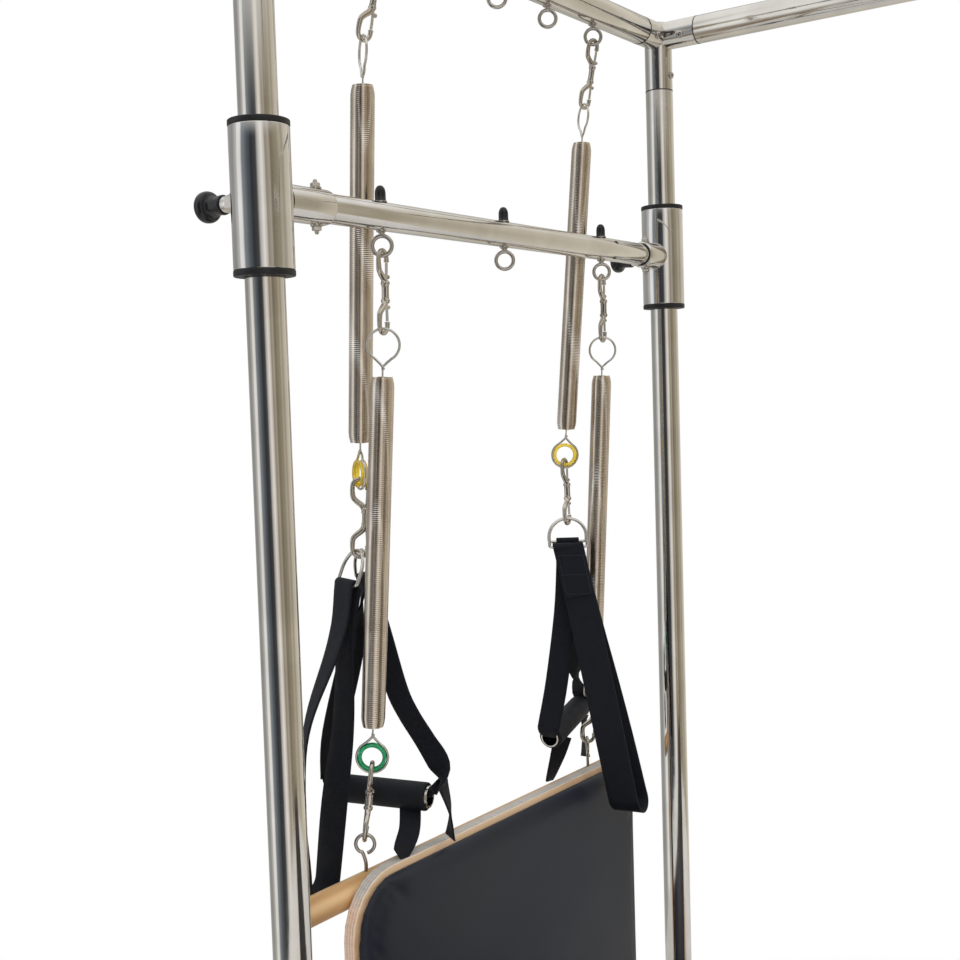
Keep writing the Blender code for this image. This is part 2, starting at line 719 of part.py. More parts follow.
def build_thimble(name, spring_frame, bottom_turn, finish, parent):
    """Coloured ring with a groove, seated inside the spring's lower loop."""
    centre = SPRING_REACH - LOOP_MEAN_D / 2
    outer, inner, half = THIMBLE_OD / 2, THIMBLE_ID / 2, THIMBLE_WIDTH / 2
    facing = Matrix.Rotation(bottom_turn, 4, "Z") @ Matrix.Rotation(math.pi / 2, 4, "X")
    frame = spring_frame @ Matrix.Translation((0, 0, centre)) @ facing
    edge = THIMBLE_EDGE
    profile = [(inner + edge, half), (outer - edge, half), (outer, 0), (outer - edge, -half),
               (inner + edge, -half), (inner, 0)]
    return turned(name, profile, 12, finish, frame, parent)


def dee_points():
    """D-shaped ring in local XZ, its crown at the origin and its flat bar below."""
    half = DEE_WIDTH / 2
    steps = 8
    points = []
    for i in range(steps + 1):
        angle = math.pi * i / steps
        points.append((half * math.cos(angle), 0, half - half * math.sin(angle)))
    low, turn = DEE_HEIGHT, DEE_CORNER
    points += [(-half, 0, low - turn), (-half + turn, 0, low), (half - turn, 0, low), (half, 0, low - turn)]
    return points


def web_mesh(name, centre_line, widths, sides, finish, frame, parent, closed):
    """Strip of webbing: two edge lines bridged to a flat strip, thickened by Solidify."""
    mesh = bpy.data.meshes.new(name)
    shape = bmesh.new()
    rows = []
    for sign in (-1, 1):
        row = [shape.verts.new(Vector(p) + Vector(s) * (sign * w / 2))
               for p, w, s in zip(centre_line, widths, sides)]
        rows.append(row)
    edges = []
    for row in rows:
        pairs = list(zip(row, row[1:])) + ([(row[-1], row[0])] if closed else [])
        edges += [shape.edges.new(pair) for pair in pairs]
    bmesh.ops.bridge_loops(shape, edges=edges)
    bmesh.ops.recalc_face_normals(shape, faces=shape.faces)
    shape.to_mesh(mesh)
    shape.free()
    made = add(name, mesh, finish, frame, parent)
    cloth = made.modifiers.new("thickness", "SOLIDIFY")
    cloth.thickness = WEB_THICKNESS
    cloth.offset = 0
    return made


def loop_line(length, spread, bar_r):
    """Teardrop in local XZ round the ring's bar: narrow above, round below."""
    points = []
    top_steps, leg_steps, low_steps = 6, 5, 8
    low_r = spread / 2
    for i in range(top_steps + 1):
        angle = math.pi * i / top_steps
        points.append((bar_r * math.cos(angle), -bar_r * math.sin(angle)))
    for i in range(1, leg_steps):
        share = i / leg_steps
        ease = share * share * share
        points.append((-bar_r - (low_r - bar_r) * ease, (length - low_r) * share))
    for i in range(low_steps + 1):
        angle = math.pi * i / low_steps
        points.append((-low_r * math.cos(angle), length - low_r + low_r * math.sin(angle)))
    for i in range(leg_steps - 1, 0, -1):
        share = i / leg_steps
        ease = share * share * share
        points.append((bar_r + (low_r - bar_r) * ease, (length - low_r) * share))
    return points


def build_strap_loop(name, bar_place, bottom_place, across_top, across_bottom, parent):
    """Long webbing loop from a ring's bar to a lower middle point, turning its width on the way."""
    run = Vector(bottom_place) - Vector(bar_place)
    bar_r = DEE_WIRE / 2 + WEB_THICKNESS / 2 + LINK_GAP
    line, sides, widths = [], [], []
    for across, down in loop_line(run.length, LOOP_SPREAD, bar_r):
        share = min(max(down / run.length, 0), 1)
        side = (Vector(across_top) * (1 - share) + Vector(across_bottom) * share).normalized()
        open_way = side.cross(run).normalized()
        line.append(Vector(bar_place) + run.normalized() * down + open_way * across)
        sides.append(side)
        widths.append(LOOP_WEB_WIDTH)
    return web_mesh(name, line, widths, sides, "black_webbing", None, parent, True)


def build_handle(hand, bar_place, grip_place, across_top, along, parent):
    """Foam grip on a webbing triangle, with the two free tails at its ends."""
    run = (Vector(grip_place) - Vector(bar_place)).normalized()
    along = (Vector(along) - run * Vector(along).dot(run)).normalized()
    side = along.cross(run)
    side = side if side.dot(across_top) > 0 else -side
    top_way = Vector(across_top).cross(run).normalized()
    top_way = top_way if top_way.dot(along) > 0 else -top_way
    drop = (Vector(grip_place) - Vector(bar_place)).length
    bar_r = DEE_WIRE / 2 + WEB_THICKNESS / 2 + LINK_GAP
    half = GRIP_LENGTH / 2 + GRIP_END_ROOM
    narrow = GRIP_BORE - BORE_ROOM
    path = [(bar_r * math.cos(a), -bar_r * math.sin(a), 1) for a in (math.pi * i / 6 for i in range(7))]
    path += [(-half * s, drop * d, 1) for s, d in HANDLE_BOW]
    bore_reach = GRIP_BORE / 2 * math.cos(math.pi / GRIP_SIDES)
    lift = math.sqrt(bore_reach ** 2 - (narrow / 2) ** 2) - WEB_THICKNESS / 2 - LINK_GAP
    inside = drop - lift
    turn_in = [(half, inside - TURN_IN, 1), (half, inside - TURN_IN_STEP, 0.6),
               (half - TURN_IN_STEP, inside, 0.1), (half - TURN_IN, inside, 0)]
    path += [(-a, d, w) for a, d, w in turn_in]
    path += list(reversed(turn_in))
    path += [(half * s, drop * d, 1) for s, d in reversed(HANDLE_BOW)]
    line, sides = [], []
    for a, down, _ in path:
        share = min(max(down / (inside - TURN_IN), 0), 1)
        way = (top_way * (1 - share) + along * share).normalized()
        line.append(Vector(bar_place) + way * a + run * down)
        sides.append((across_top * (1 - share) + side * share).normalized())
    widths = [narrow + (HANDLE_WEB_WIDTH - narrow) * w for _, _, w in path]
    web = web_mesh(f"handle_webbing_{hand}", line, widths, sides, "black_webbing",
                   None, parent, True)
    for i, sign in enumerate((-1, 1)):
        start = Vector(bar_place) + along * (sign * half) + run * (drop - TAIL_RISE)
        knee = start + DOWN * TAIL_KNEE + along * sign * TAIL_KICK
        tail_line = [start, knee, start + DOWN * TAIL_LENGTH]
        tail = web_mesh(f"handle_tail_{hand}_{i}", tail_line, [TAIL_WIDTH] * 3, [side] * 3, None,
                        None, None, False)
        join(web, tail)
    centre = Vector(bar_place) + run * drop
    outer, bore = GRIP_OD / 2, GRIP_BORE / 2
    reach = GRIP_LENGTH / 2
    soft, step = GRIP_ROUND, GRIP_EDGE_STEP
    profile = [(bore, reach), (outer - soft, reach), (outer - soft + step / 2, reach - step),
               (outer, reach - soft), (outer, soft - reach), (outer - soft + step / 2, step - reach),
               (outer - soft, -reach), (bore, -reach)]
    turned(f"handle_grip_{hand}", profile, GRIP_SIDES, "black_foam", frame_at(centre, along, run), parent)


def build_yellow_chain(hand, side):
    """Spring from the top bar with its strap and handle, leaning out behind the cross bar."""
    eye = Vector((side * 2 * TOP_EYE_PITCH, HALF_Y, TOP_BAR_Z)) + DOWN * (eye_centre_drop(TUBE_R) + EYE_R)
    ring_turn = 0 if hand == "right" else math.pi / 2
    chain = Chain(eye, EYE_WIRE)
    frame = chain.next_frame(SNAP_WIRE, YELLOW_LEAN_ABOVE, ALONG_VIEW)
    build_snap(f"yellow_top_snap_{hand}", frame, None)
    chain.step(frame, SNAP_REACH)
    right = hand == "right"
    lean, splay = YELLOW_SPRING_LEAN[hand]
    frame = chain.next_frame(SPRING_WIRE, lean, ACROSS_VIEW, splay)
    build_spring(f"yellow_spring_{hand}", frame, 0, ring_turn, None)
    build_thimble(f"yellow_thimble_{hand}", frame, ring_turn, "yellow_plastic", None)
    seat = chain.step(frame, SPRING_REACH)
    inside = (THIMBLE_OD - THIMBLE_ID) / 2 + (LOOP_MEAN_D - THIMBLE_OD) / 2
    chain.place = seat - chain.direction * inside
    chain.wire_d = THIMBLE_SEAT_GAP
    snap_hint = ALONG_VIEW if right else ACROSS_VIEW
    lean, splay = YELLOW_SNAP_LEAN[hand]
    frame = chain.next_frame(SNAP_WIRE, lean, snap_hint, splay)
    build_snap(f"yellow_lower_snap_{hand}", frame, None)
    chain.step(frame, SNAP_REACH)
    return chain


def compass(way, turn_deg):
    """Horizontal direction turned about the vertical."""
    return Matrix.Rotation(math.radians(turn_deg), 3, "Z") @ way


def build_straps(hand, chain):
    """Two D-rings on the lower snap: one holds the long loop, the other the handle."""
    left = hand == "left"
    bar_way = compass(ALONG_VIEW if left else ACROSS_VIEW, RING_TURN[hand])
    loop_way = compass(ALONG_VIEW if left else ACROSS_VIEW, LOOP_TURN[hand])
    grip_way = compass(ACROSS_VIEW if left else ALONG_VIEW, GRIP_TURN[hand])
    normal = bar_way.cross(DOWN).normalized()
    if normal.dot(ACROSS_VIEW if left else ALONG_VIEW) > 0:
        normal = -normal
    offset = DEE_WIRE / 2 + DEE_SIDE_GAP
    start = chain.place - chain.direction * ((SNAP_WIRE + DEE_WIRE) / 2 + DEE_GAP)
    hanging = (("loop", 1, LOOP_RING_TILT[hand]), ("handle", -1, HANDLE_RING_TILT[hand]))
    for kind, sign, tilt_deg in hanging:
        tilt = math.radians(tilt_deg)
        crown = start + normal * sign * offset
        run = DOWN * math.cos(tilt) + normal * (sign * math.sin(tilt))
        frame = frame_at(crown, run, bar_way)
        empty = joint_empty(f"{kind}_hinge_{hand}", crown)
        wire(f"{kind}_ring_{hand}", dee_points(), DEE_WIRE, "polished_steel", frame, closed=True,
             parent=empty)
        bar = crown + run * DEE_HEIGHT
        if kind == "loop":
            bottom = hang_point(chain, LOOP_STEP[hand], LOOP_DROP[hand])
            build_strap_loop(f"strap_loop_{hand}", bar, bottom, bar_way, loop_way, empty)
        else:
            grip = hang_point(chain, GRIP_STEP[hand], GRIP_DROP[hand])
            build_handle(hand, bar, grip, bar_way, grip_way, empty)


def hang_point(chain, step, drop):
    """Point a view-aligned step from the lower snap's foot, at a drop below the cross bar."""
    place = chain.place + ACROSS_VIEW * step[0] + ALONG_VIEW * step[1]
    return Vector((place.x, place.y, CROSS_Z - drop))


def build_green_chains(cross_body, dowel_body):
    """Springs from the cross bar down to the roll-down bar behind the padded board."""
    for hand, side in (("left", -1), ("right", 1)):
        eye = Vector((side * CROSS_EYE_PITCH, HALF_Y, CROSS_Z))
        eye += DOWN * (eye_centre_drop(CROSS_BAR_OD / 2) + EYE_R)
        ring_turn = 0 if hand == "left" else math.pi / 2
        splay = side * GREEN_SPLAY
        chain = Chain(eye, EYE_WIRE)
        frame = chain.next_frame(SNAP_WIRE, GREEN_LEAN_ABOVE, ALONG_VIEW)
        build_snap(f"green_top_snap_{hand}", frame, cross_body)
        chain.step(frame, SNAP_REACH)
        frame = chain.next_frame(SPRING_WIRE, GREEN_LEAN, ACROSS_VIEW, splay)
        build_spring(f"green_spring_{hand}", frame, 0, ring_turn, cross_body)
        build_thimble(f"green_thimble_{hand}", frame, ring_turn, "green_plastic", dowel_body)
        seat = chain.step(frame, SPRING_REACH)
        inside = (THIMBLE_OD - THIMBLE_ID) / 2 + (LOOP_MEAN_D - THIMBLE_OD) / 2
        chain.place = seat - chain.direction * inside
        chain.wire_d = THIMBLE_SEAT_GAP
        hint = ALONG_VIEW if hand == "left" else ACROSS_VIEW
        frame = chain.next_frame(SNAP_WIRE, GREEN_LEAN_BELOW, hint)
        build_snap(f"green_lower_snap_{hand}", frame, dowel_body)
        yield hand, chain.step(frame, SNAP_REACH)


def build_roll_down_bar(eye_tops, body):
    """Wooden dowel with a screw eye under each green chain."""
    left, right = eye_tops["left"], eye_tops["right"]
    lap = (SNAP_WIRE + EYE_WIRE) / 2 + LINK_GAP
    eye_z = left.z + lap - EYE_R
    axis_z = eye_z - EYE_R - EYE_WIRE / 2 - SCREW_EYE_SHANK - DOWEL_D / 2
    middle = Vector((0, (left.y + right.y) / 2, axis_z))
    half = Vector((DOWEL_LENGTH / 2, 0, 0))
    bar = rod_between("roll_down_bar", middle - half, middle + half, DOWEL_D, "maple",
                      rounding=DOWEL_ROUND,
                      parent=body)
    for hand, top in eye_tops.items():
        centre = Vector((top.x, middle.y, eye_z))
        facing = ALONG_VIEW if hand == "left" else ACROSS_VIEW
        eye = eye_ring(f"screw_eye_{hand}", centre, facing)
        start = Vector((top.x, middle.y, axis_z))
        shank = rod_between(f"screw_shank_{hand}", start, centre + DOWN * (EYE_R - EYE_WIRE / 4),
                            EYE_WIRE, steps=7, hint=OFF_AXIS)
        join(bar, shank, eye)


def build_bed():
    """Leg frames at both ends, side rails with ledges, and the deck."""
    half_leg = LEG_SIDE / 2
    rail_low = FRAME_TOP - RAIL_HEIGHT
    for end, side in (("head", 1), ("foot", -1)):
        y = side * HALF_Y
        rail_out = y + side * BOARD_BACK_OUT
        rail_in = rail_out - side * END_RAIL_THICK
        inner = HALF_X - half_leg + RAIL_TENON
        frame = box(f"{end}_frame", (-inner, min(rail_in, rail_out), rail_low),
                    (inner, max(rail_in, rail_out), FRAME_TOP), "maple")
        for hand, side_x in (("left", -1), ("right", 1)):
            x = side_x * HALF_X
            leg = box(f"{end}_leg_{hand}", (x - half_leg, y - half_leg, 0),
                      (x + half_leg, y + half_leg, FRAME_TOP), None, EDGE_ROUND)
            join(frame, leg)
            socket = rod_between(f"{end}_socket_{hand}", (x, y, FRAME_TOP - POST_SOCKET_DEPTH - GAP),
                                 (x, y, FRAME_TOP + SOCKET_OVERRUN), TUBE_OD + 2 * SLIP)
            cut(frame, socket)
    rail_length = POST_SPACING_Y - LEG_SIDE - 2 * GAP
    deck_top = FRAME_TOP - DECK_DROP
    ledge_top = deck_top - DECK_THICK - GAP
    for hand, side_x in (("left", -1), ("right", 1)):
        outer = HALF_X + half_leg - EDGE_ROUND
        inner = outer - SIDE_RAIL_THICK
        outline = [(outer, rail_low), (outer, FRAME_TOP), (inner, FRAME_TOP), (inner, ledge_top),
                   (inner - LEDGE, ledge_top), (inner - LEDGE, ledge_top - LEDGE),
                   (inner, ledge_top - LEDGE), (inner, rail_low)]
        outline = [(side_x * x, z) for x, z in outline]
        frame = Matrix.Rotation(math.pi / 2, 4, "X")
        outline_plate(f"side_rail_{hand}", outline, rail_length, "maple", frame)
    deck_x = HALF_X + half_leg - EDGE_ROUND - SIDE_RAIL_THICK - 2 * GAP
    deck_y = HALF_Y - half_leg - 2 * GAP
    box("deck", (-deck_x, -deck_y, deck_top - DECK_THICK), (deck_x, deck_y, deck_top), "plywood")
    return deck_top, deck_y


def cushion(name, size, centre, crown_axis, crown, cuts, finish):
    """Upholstered block: crowned face, drawn-in sides, and edges softened by subdivision."""
    mesh = bpy.data.meshes.new(name)
    shape = bmesh.new()
    bmesh.ops.create_cube(shape, size=2)
    bmesh.ops.subdivide_edges(shape, edges=shape.edges[:], cuts=cuts, use_grid_fill=True)
    half = Vector(size) / 2
    flat = [i for i in range(3) if i != abs(crown_axis) - 1]
    up = abs(crown_axis) - 1
    sign = 1 if crown_axis > 0 else -1
    for vert in shape.verts:
        u, v, w = vert.co[flat[0]], vert.co[flat[1]], vert.co[up] * sign
        pull = 0.5 * (1 + w)
        draw = DRAWN_IN * (1 - w * w)
        place = Vector()
        for axis, value in ((flat[0], u), (flat[1], v)):
            spaced = math.copysign(abs(value) ** EDGE_CROWDING, value)
            place[axis] = spaced * (half[axis] - draw)
        height = w * half[up] + crown * pull * (1 - u * u) * (1 - v * v) - crown * pull
        place[up] = sign * height
        vert.co = place
    bmesh.ops.translate(shape, vec=centre, verts=shape.verts)
    bmesh.ops.recalc_face_normals(shape, faces=shape.faces)
    shape.to_mesh(mesh)
    shape.free()
    made = add(name, mesh, finish)
    soft = made.modifiers.new("soft", "SUBSURF")
    soft.levels = soft.render_levels = 1
    return made


def build_mat(deck_top):
    half_x = HALF_X - TUBE_R - MAT_POST_ROOM
    head = HALF_Y + BOARD_BACK_OUT - BOARD_PLY - BOARD_PAD - MAT_HEAD_ROOM
    foot = -(HALF_Y - TUBE_R - MAT_POST_ROOM)
    size = (2 * half_x, head - foot, MAT_THICK)
    centre = (0, (head + foot) / 2, deck_top + GAP + MAT_THICK / 2)
    cushion("mat", size, centre, 3, MAT_CROWN, 2, "black_vinyl")


def board_outline(width, height, radius, steps=6):
    """Upright rectangle with two rounded top corners, from bottom left."""
    half = width / 2
    points = [(-half, 0)]
    for i in range(steps + 1):
        angle = math.pi - math.pi / 2 * i / steps
        points.append((-half + radius + radius * math.cos(angle), height - radius + radius * math.sin(angle)))
    for i in range(steps + 1):
        angle = math.pi / 2 - math.pi / 2 * i / steps
        points.append((half - radius + radius * math.cos(angle), height - radius + radius * math.sin(angle)))
    points.append((half, 0))
    return points


def build_board():
    """Padded plywood board that stands on the head rail, and the bracket behind it."""
    height = BOARD_TOP - FRAME_TOP - GAP
    upright = Matrix.Rotation(math.pi / 2, 4, "X")
    back = HALF_Y + BOARD_BACK_OUT
    base = Vector((0, back - BOARD_PLY / 2, FRAME_TOP + GAP))
    outline = board_outline(BOARD_WIDTH, height, BOARD_CORNER)
    outline_plate("board_panel", outline, BOARD_PLY, "plywood", Matrix.Translation(base) @ upright)
    front = back - BOARD_PLY - GAP
    pad_base = Vector((0, front - BOARD_PAD / 2, FRAME_TOP + GAP))
    pad_outline = board_outline(BOARD_WIDTH - 2 * PAD_INSET, height - PAD_INSET, BOARD_CORNER - PAD_INSET)
    pad_frame = Matrix.Translation(pad_base) @ upright
    pad = outline_plate("board_pad", pad_outline, BOARD_PAD, "black_vinyl", pad_frame)
    soften = pad.modifiers.new("soften", "BEVEL")
    soften.width = PAD_ROUND
    soften.segments = 2
    soften.limit_method = "ANGLE"
    half, bar = BRACKET_HALF_WIDTH, BRACKET_BAR
    low = BRACKET_FOOT_RISE - RAIL_HEIGHT
    points = [(-half, low), (half, low), (half, BRACKET_RISE), (half - bar, BRACKET_RISE),
              (half - bar, low + bar), (-half + bar, low + bar), (-half + bar, BRACKET_RISE),
              (-half, BRACKET_RISE)]
    place = Matrix.Translation((0, back + GAP + BRACKET_THICK / 2, FRAME_TOP)) @ upright
    outline_plate("board_bracket", points, BRACKET_THICK, "polished_steel", place)


def centre_footprint():
    """Slide the whole table along Y so that the middle of its footprint is the origin."""
    bpy.context.view_layer.update()
    graph = bpy.context.evaluated_depsgraph_get()
    reach = []
    for made in TABLE.objects:
        if made.type == "MESH":
            shown = made.evaluated_get(graph)
            reach += [(made.matrix_world @ vert.co).y for vert in shown.data.vertices]
    shift = -(min(reach) + max(reach)) / 2
    for made in [*TABLE.objects, *CUTTERS.objects]:
        if made.parent is None:
            made.location.y += shift
    bpy.context.view_layer.update()


def main():
    build_posts()
    build_fittings()
    build_top_tubes()
    cross_body = joint_empty("cross_bar_body", (0, HALF_Y, CROSS_Z))
    build_cross_bar(cross_body)
    build_collars(cross_body)
    dowel_body = joint_empty("roll_down_body", (0, HALF_Y, CROSS_Z))
    eye_tops = dict(build_green_chains(cross_body, dowel_body))
    build_roll_down_bar(eye_tops, dowel_body)
    left = build_yellow_chain("left", -1)
    right = build_yellow_chain("right", 1)
    build_straps("left", left)
    build_straps("right", right)
    deck_top, _ = build_bed()
    build_mat(deck_top)
    build_board()
    for made in TABLE.objects:
        if made.type == "MESH":
            made.data.shade_smooth()
            made.data.set_sharp_from_angle(angle=math.radians(SHARP_ANGLE))
    centre_footprint()


for old in list(bpy.data.objects):
    bpy.data.objects.remove(old)
TABLE = collection("pilates_trapeze_table")
CUTTERS = collection("cutters")
main()
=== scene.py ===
"""Looks of a pilates trapeze table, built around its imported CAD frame.

Metres, +Z up, +Y towards the head end, the origin on the floor under the middle of the table.
"""
from __future__ import annotations

import logging
import math
from dataclasses import dataclass
from enum import Enum
from typing import Callable, Sequence

import bmesh
import bpy
from mathutils import Matrix, Vector

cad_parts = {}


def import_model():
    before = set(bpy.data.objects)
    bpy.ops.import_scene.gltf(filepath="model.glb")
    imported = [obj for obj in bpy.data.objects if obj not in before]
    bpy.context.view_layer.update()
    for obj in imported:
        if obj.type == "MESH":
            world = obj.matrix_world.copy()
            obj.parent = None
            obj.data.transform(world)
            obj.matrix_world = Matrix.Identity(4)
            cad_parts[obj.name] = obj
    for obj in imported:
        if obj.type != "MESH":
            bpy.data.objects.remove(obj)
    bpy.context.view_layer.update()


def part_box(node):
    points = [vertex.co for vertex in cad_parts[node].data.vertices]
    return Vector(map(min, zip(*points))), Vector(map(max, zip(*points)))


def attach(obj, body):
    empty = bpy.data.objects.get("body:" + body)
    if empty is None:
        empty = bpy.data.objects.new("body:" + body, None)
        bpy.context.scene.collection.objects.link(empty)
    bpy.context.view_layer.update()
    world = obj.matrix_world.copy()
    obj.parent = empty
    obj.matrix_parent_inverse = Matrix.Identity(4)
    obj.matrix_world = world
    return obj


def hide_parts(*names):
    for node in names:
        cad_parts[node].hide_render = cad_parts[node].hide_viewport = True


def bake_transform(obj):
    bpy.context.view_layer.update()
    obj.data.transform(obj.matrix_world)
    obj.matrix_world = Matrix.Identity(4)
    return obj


LOG = logging.getLogger("pilates_trapeze_table")

Point = Sequence[float]
Pair = tuple[float, float]
Stops = Sequence[tuple[float, str]]
Socket = bpy.types.NodeSocket

ACROSS_VIEW = Vector((0.582, -0.813, 0.0))
ALONG_VIEW = Vector((0.813, 0.582, 0.0))
UP = Vector((0.0, 0.0, 1.0))
DOWN = -UP
HEAD_WAY = Vector((0, 1, 0))
RIGHT_WAY = Vector((1, 0, 0))
SIDES = (("left", -1), ("right", 1))
HEXAGON_SPREAD = math.cos(math.pi / 6)


class Body(str, Enum):
    """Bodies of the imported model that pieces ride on."""

    FRAME = "table_frame"
    CARRIAGE = "cross_bar_carriage"
    ROLL_DOWN = "roll_down_assembly"


class Finish(str, Enum):
    """Every finish used on the table, by name."""

    TUBE = "polished_tube"
    COLLAR = "mirror_collar"
    FASTENER = "zinc_fastener"
    SNAP = "nickel_snap"
    RING = "bright_ring"
    WIRE = "eye_wire"
    SPRING = "spring_wire"
    PLASTIC = "black_plastic"
    RUBBER = "black_rubber"
    WEBBING = "black_webbing"
    THREAD = "black_thread"
    FOAM = "black_foam"
    VINYL = "black_vinyl"
    AMBER = "amber_plastic"
    GREEN = "green_plastic"
    WOOD_X = "maple_along_x"
    WOOD_Y = "maple_along_y"
    DOWEL = "maple_dowel"
    PLY = "birch_plywood"
    VENEER = "birch_veneer"
    SHADOW_GAP = "shadow_gap"


@dataclass(frozen=True)
class CanopyPlan:
    """Tubes and corner fittings of the canopy."""

    half_x: float = 0.398
    half_length: float = 1.025
    tube_r: float = 0.019
    bore_r: float = 0.016
    top_z: float = 2.080
    post_foot_z: float = 0.500
    arm_x: float = 0.054
    arm_y: float = 0.063
    arm_z: float = 0.075
    gap: float = 0.0003
    screw_from_mouth: float = 0.020


@dataclass(frozen=True)
class CrossBarPlan:
    """Sliding cross bar, collars and plungers."""

    z: float = 1.772
    bar_r: float = 0.015
    bar_wall: float = 0.0025
    bar_end_gap: float = 0.0023
    collar_r: float = 0.029
    collar_bore_r: float = 0.0265
    collar_half: float = 0.0725
    flange: float = 0.006
    liner_gap: float = 0.0005
    stub_r: float = 0.01775
    stub_left: float = 0.088
    stub_right: float = 0.066
    bolt_from_mouth: float = 0.014
    index_pitch: float = 0.050
    index_holes: tuple[int, int] = (-5, 2)
    eye_pitch: float = 0.225
    neck_length: float = 0.020
    neck_half: float = 0.009
    knob_length: float = 0.031
    knob_r: float = 0.0155


@dataclass(frozen=True)
class EyePlan:
    """Eyes that springs hang from, and their dome caps."""

    mean_r: float = 0.01025
    wire: float = 0.0045
    stem: float = 0.003
    cap_r: float = 0.00625
    cap_height: float = 0.017
    top_pitch: float = 0.109
    top_count: int = 5

    def drop(self, bar_r: float) -> float:
        """Depth of the eye's centre below the bar's axis.

        Args:
            bar_r: radius of the bar.
        Returns:
            The distance in metres.
        """
        return bar_r + self.stem + self.wire / 2 + self.mean_r


@dataclass(frozen=True)
class SpringPlan:
    """Coil and end wires of one spring; a turn's section is in wire radii, outward and along."""

    outer_r: float = 0.013
    wire: float = 0.003
    coil_pitch: float = 0.00205
    per_turn: int = 21
    stagger: float = 0.37
    turn_section: tuple[Pair, ...] = ((1.0, -0.45), (1.0, 0.45), (0.90, 0.84), (0.40, 0.86), (0.40, -0.86),
                                      (0.90, -0.84))
    body: float = 0.377
    loop_mean_d: float = 0.034
    neck: float = 0.017
    end_r: float = 0.0098
    dome: float = 0.012
    thimble_r: float = 0.0145
    thimble_bore_r: float = 0.011
    thimble_half: float = 0.004

    @property
    def reach(self) -> float:
        """Length from the outside of one loop to the other."""
        return 2 * self.loop_mean_d + 2 * self.neck + self.body


@dataclass(frozen=True)
class SnapPlan:
    """Double-ended bolt snap."""

    reach: float = 0.086
    wire: float = 0.005
    hook_r: float = 0.00825
    barrel_r: float = 0.0030
    barrel_step: float = 0.0050


@dataclass(frozen=True)
class StrapPlan:
    """Rings, webbing and grips.

    The CAD's webbing is as thick as thickness; what is seen is woven, and thin at folds and tails.
    """

    dee_width: float = 0.050
    dee_height: float = 0.038
    grip_dee_height: float = 0.032
    dee_wire: float = 0.004
    dee_corner: float = 0.0045
    thickness: float = 0.003
    woven: float = 0.0024
    thin: float = 0.0022
    loop_width: float = 0.040
    handle_width: float = 0.030
    handle_tilt: float = 5.0
    leg_turn: float = 62.0
    corner_reach: float = 0.008
    narrowing: float = 0.006
    turn_in: float = 0.012
    spread: float = 0.036
    grip_half: float = 0.058
    grip_r: float = 0.016
    grip_bore_r: float = 0.0115
    tail_width: float = 0.024
    dee_gap: float = 0.0027
    dee_side_gap: float = 0.0006
    thread_r: float = 0.00042

    @property
    def bar_r(self) -> float:
        """Radius at which webbing turns round a ring's bar."""
        return self.dee_wire / 2 + self.thickness / 2 + LINK_GAP


@dataclass(frozen=True)
class SeamPlan:
    """Sewn end of a long loop: distances down the leg, and shares of its width."""

    start: float = 0.003
    fold: float = 0.064
    rows: tuple[float, ...] = (0.012, 0.038, 0.064)
    edge: float = 0.40
    fold_lift: float = 0.0023
    thread_lift: float = 0.0036
    skip: float = 0.15


@dataclass(frozen=True)
class HandPlan:
    """How one side's chains and straps hang, in degrees and metres.

    Leans are pairs of an outward and a sideways lean. A row of loop_legs holds the share down the loop, both
    legs' distances from its middle and both legs' turns. Legs of a handle are shares of its half width and drop.
    """

    side: int
    top_snap_lean: Pair
    spring_lean: Pair
    snap_lean: Pair
    green_leans: tuple[Pair, Pair, Pair]
    yellow_loop_turn: float
    green_loop_turn: float
    loop_tilt: float
    loop_step: Pair
    loop_drop: float
    grip_step: Pair
    grip_drop: float
    ring_turn: float
    grip_turn: float
    loop_legs: tuple[tuple[float, float, float, float, float], ...]
    far_leg: tuple[Pair, ...]
    tails: tuple[tuple[Point, Point, Point], ...]

    @property
    def facing(self) -> Vector:
        """Direction that the bars of this side's rings start from."""
        return ALONG_VIEW if self.side < 0 else ACROSS_VIEW

    @property
    def beside(self) -> Vector:
        """Direction at a right angle to it."""
        return ACROSS_VIEW if self.side < 0 else ALONG_VIEW


@dataclass(frozen=True)
class DowelPlan:
    """Roll-down bar and the shanks of its screw eyes."""

    radius: float = 0.015
    shank: float = 0.018
    eye_wire_r: float = 0.0020


@dataclass(frozen=True)
class BoardPlan:
    """Padded board, thinner to the eye than its CAD solids, and where its bracket is bolted."""

    ply: float = 0.0140
    cad_ply: float = 0.018
    seam: float = 0.0003
    pad_share: float = 0.80
    bolt_x: float = 0.170

    @property
    def ply_share(self) -> float:
        """Share of the CAD panel's thickness that is seen."""
        return self.ply / self.cad_ply


@dataclass(frozen=True)
class PadPlan:
    """One stuffed pad: remesh size, air pressure, most bulge, flat side, inset and subdivision."""

    voxel: float
    pressure: float
    cap: float
    back: Point
    shrink: float
    levels: int


@dataclass(frozen=True)
class LampPlan:
    """One soft lamp: side length in metres, power in watts, target at the head end unless target_y is given."""

    place: Point
    target_z: float
    size: float
    power: float
    target_y: float | None = None


@dataclass(frozen=True)
class CameraPlan:
    """Camera fitted to the photograph: place from the head end, turns in radians, optics in its pixels."""

    place: Point = (-1.29155, -0.88903, 1.57837)
    turn: float = math.radians(35.63)
    tip: float = 0.0612
    roll: float = -0.0309
    pixels: float = 960
    focal: float = 1314
    centre: Pair = (483.8, 479.8)
    sensor: float = 36.0
    clip_start: float = 0.05


# Play between linked wires, and between a snap and the thimble that it sits in.
LINK_GAP = 0.0008
THIMBLE_SEAT_GAP = 0.0030
# Turns about the chain, in degrees, of snaps and of the yellow springs' upper loops.
YELLOW_SNAP_TURN = -45.0
GREEN_SNAP_TURN = -25.0
YELLOW_LOOP_TURN = 72.0
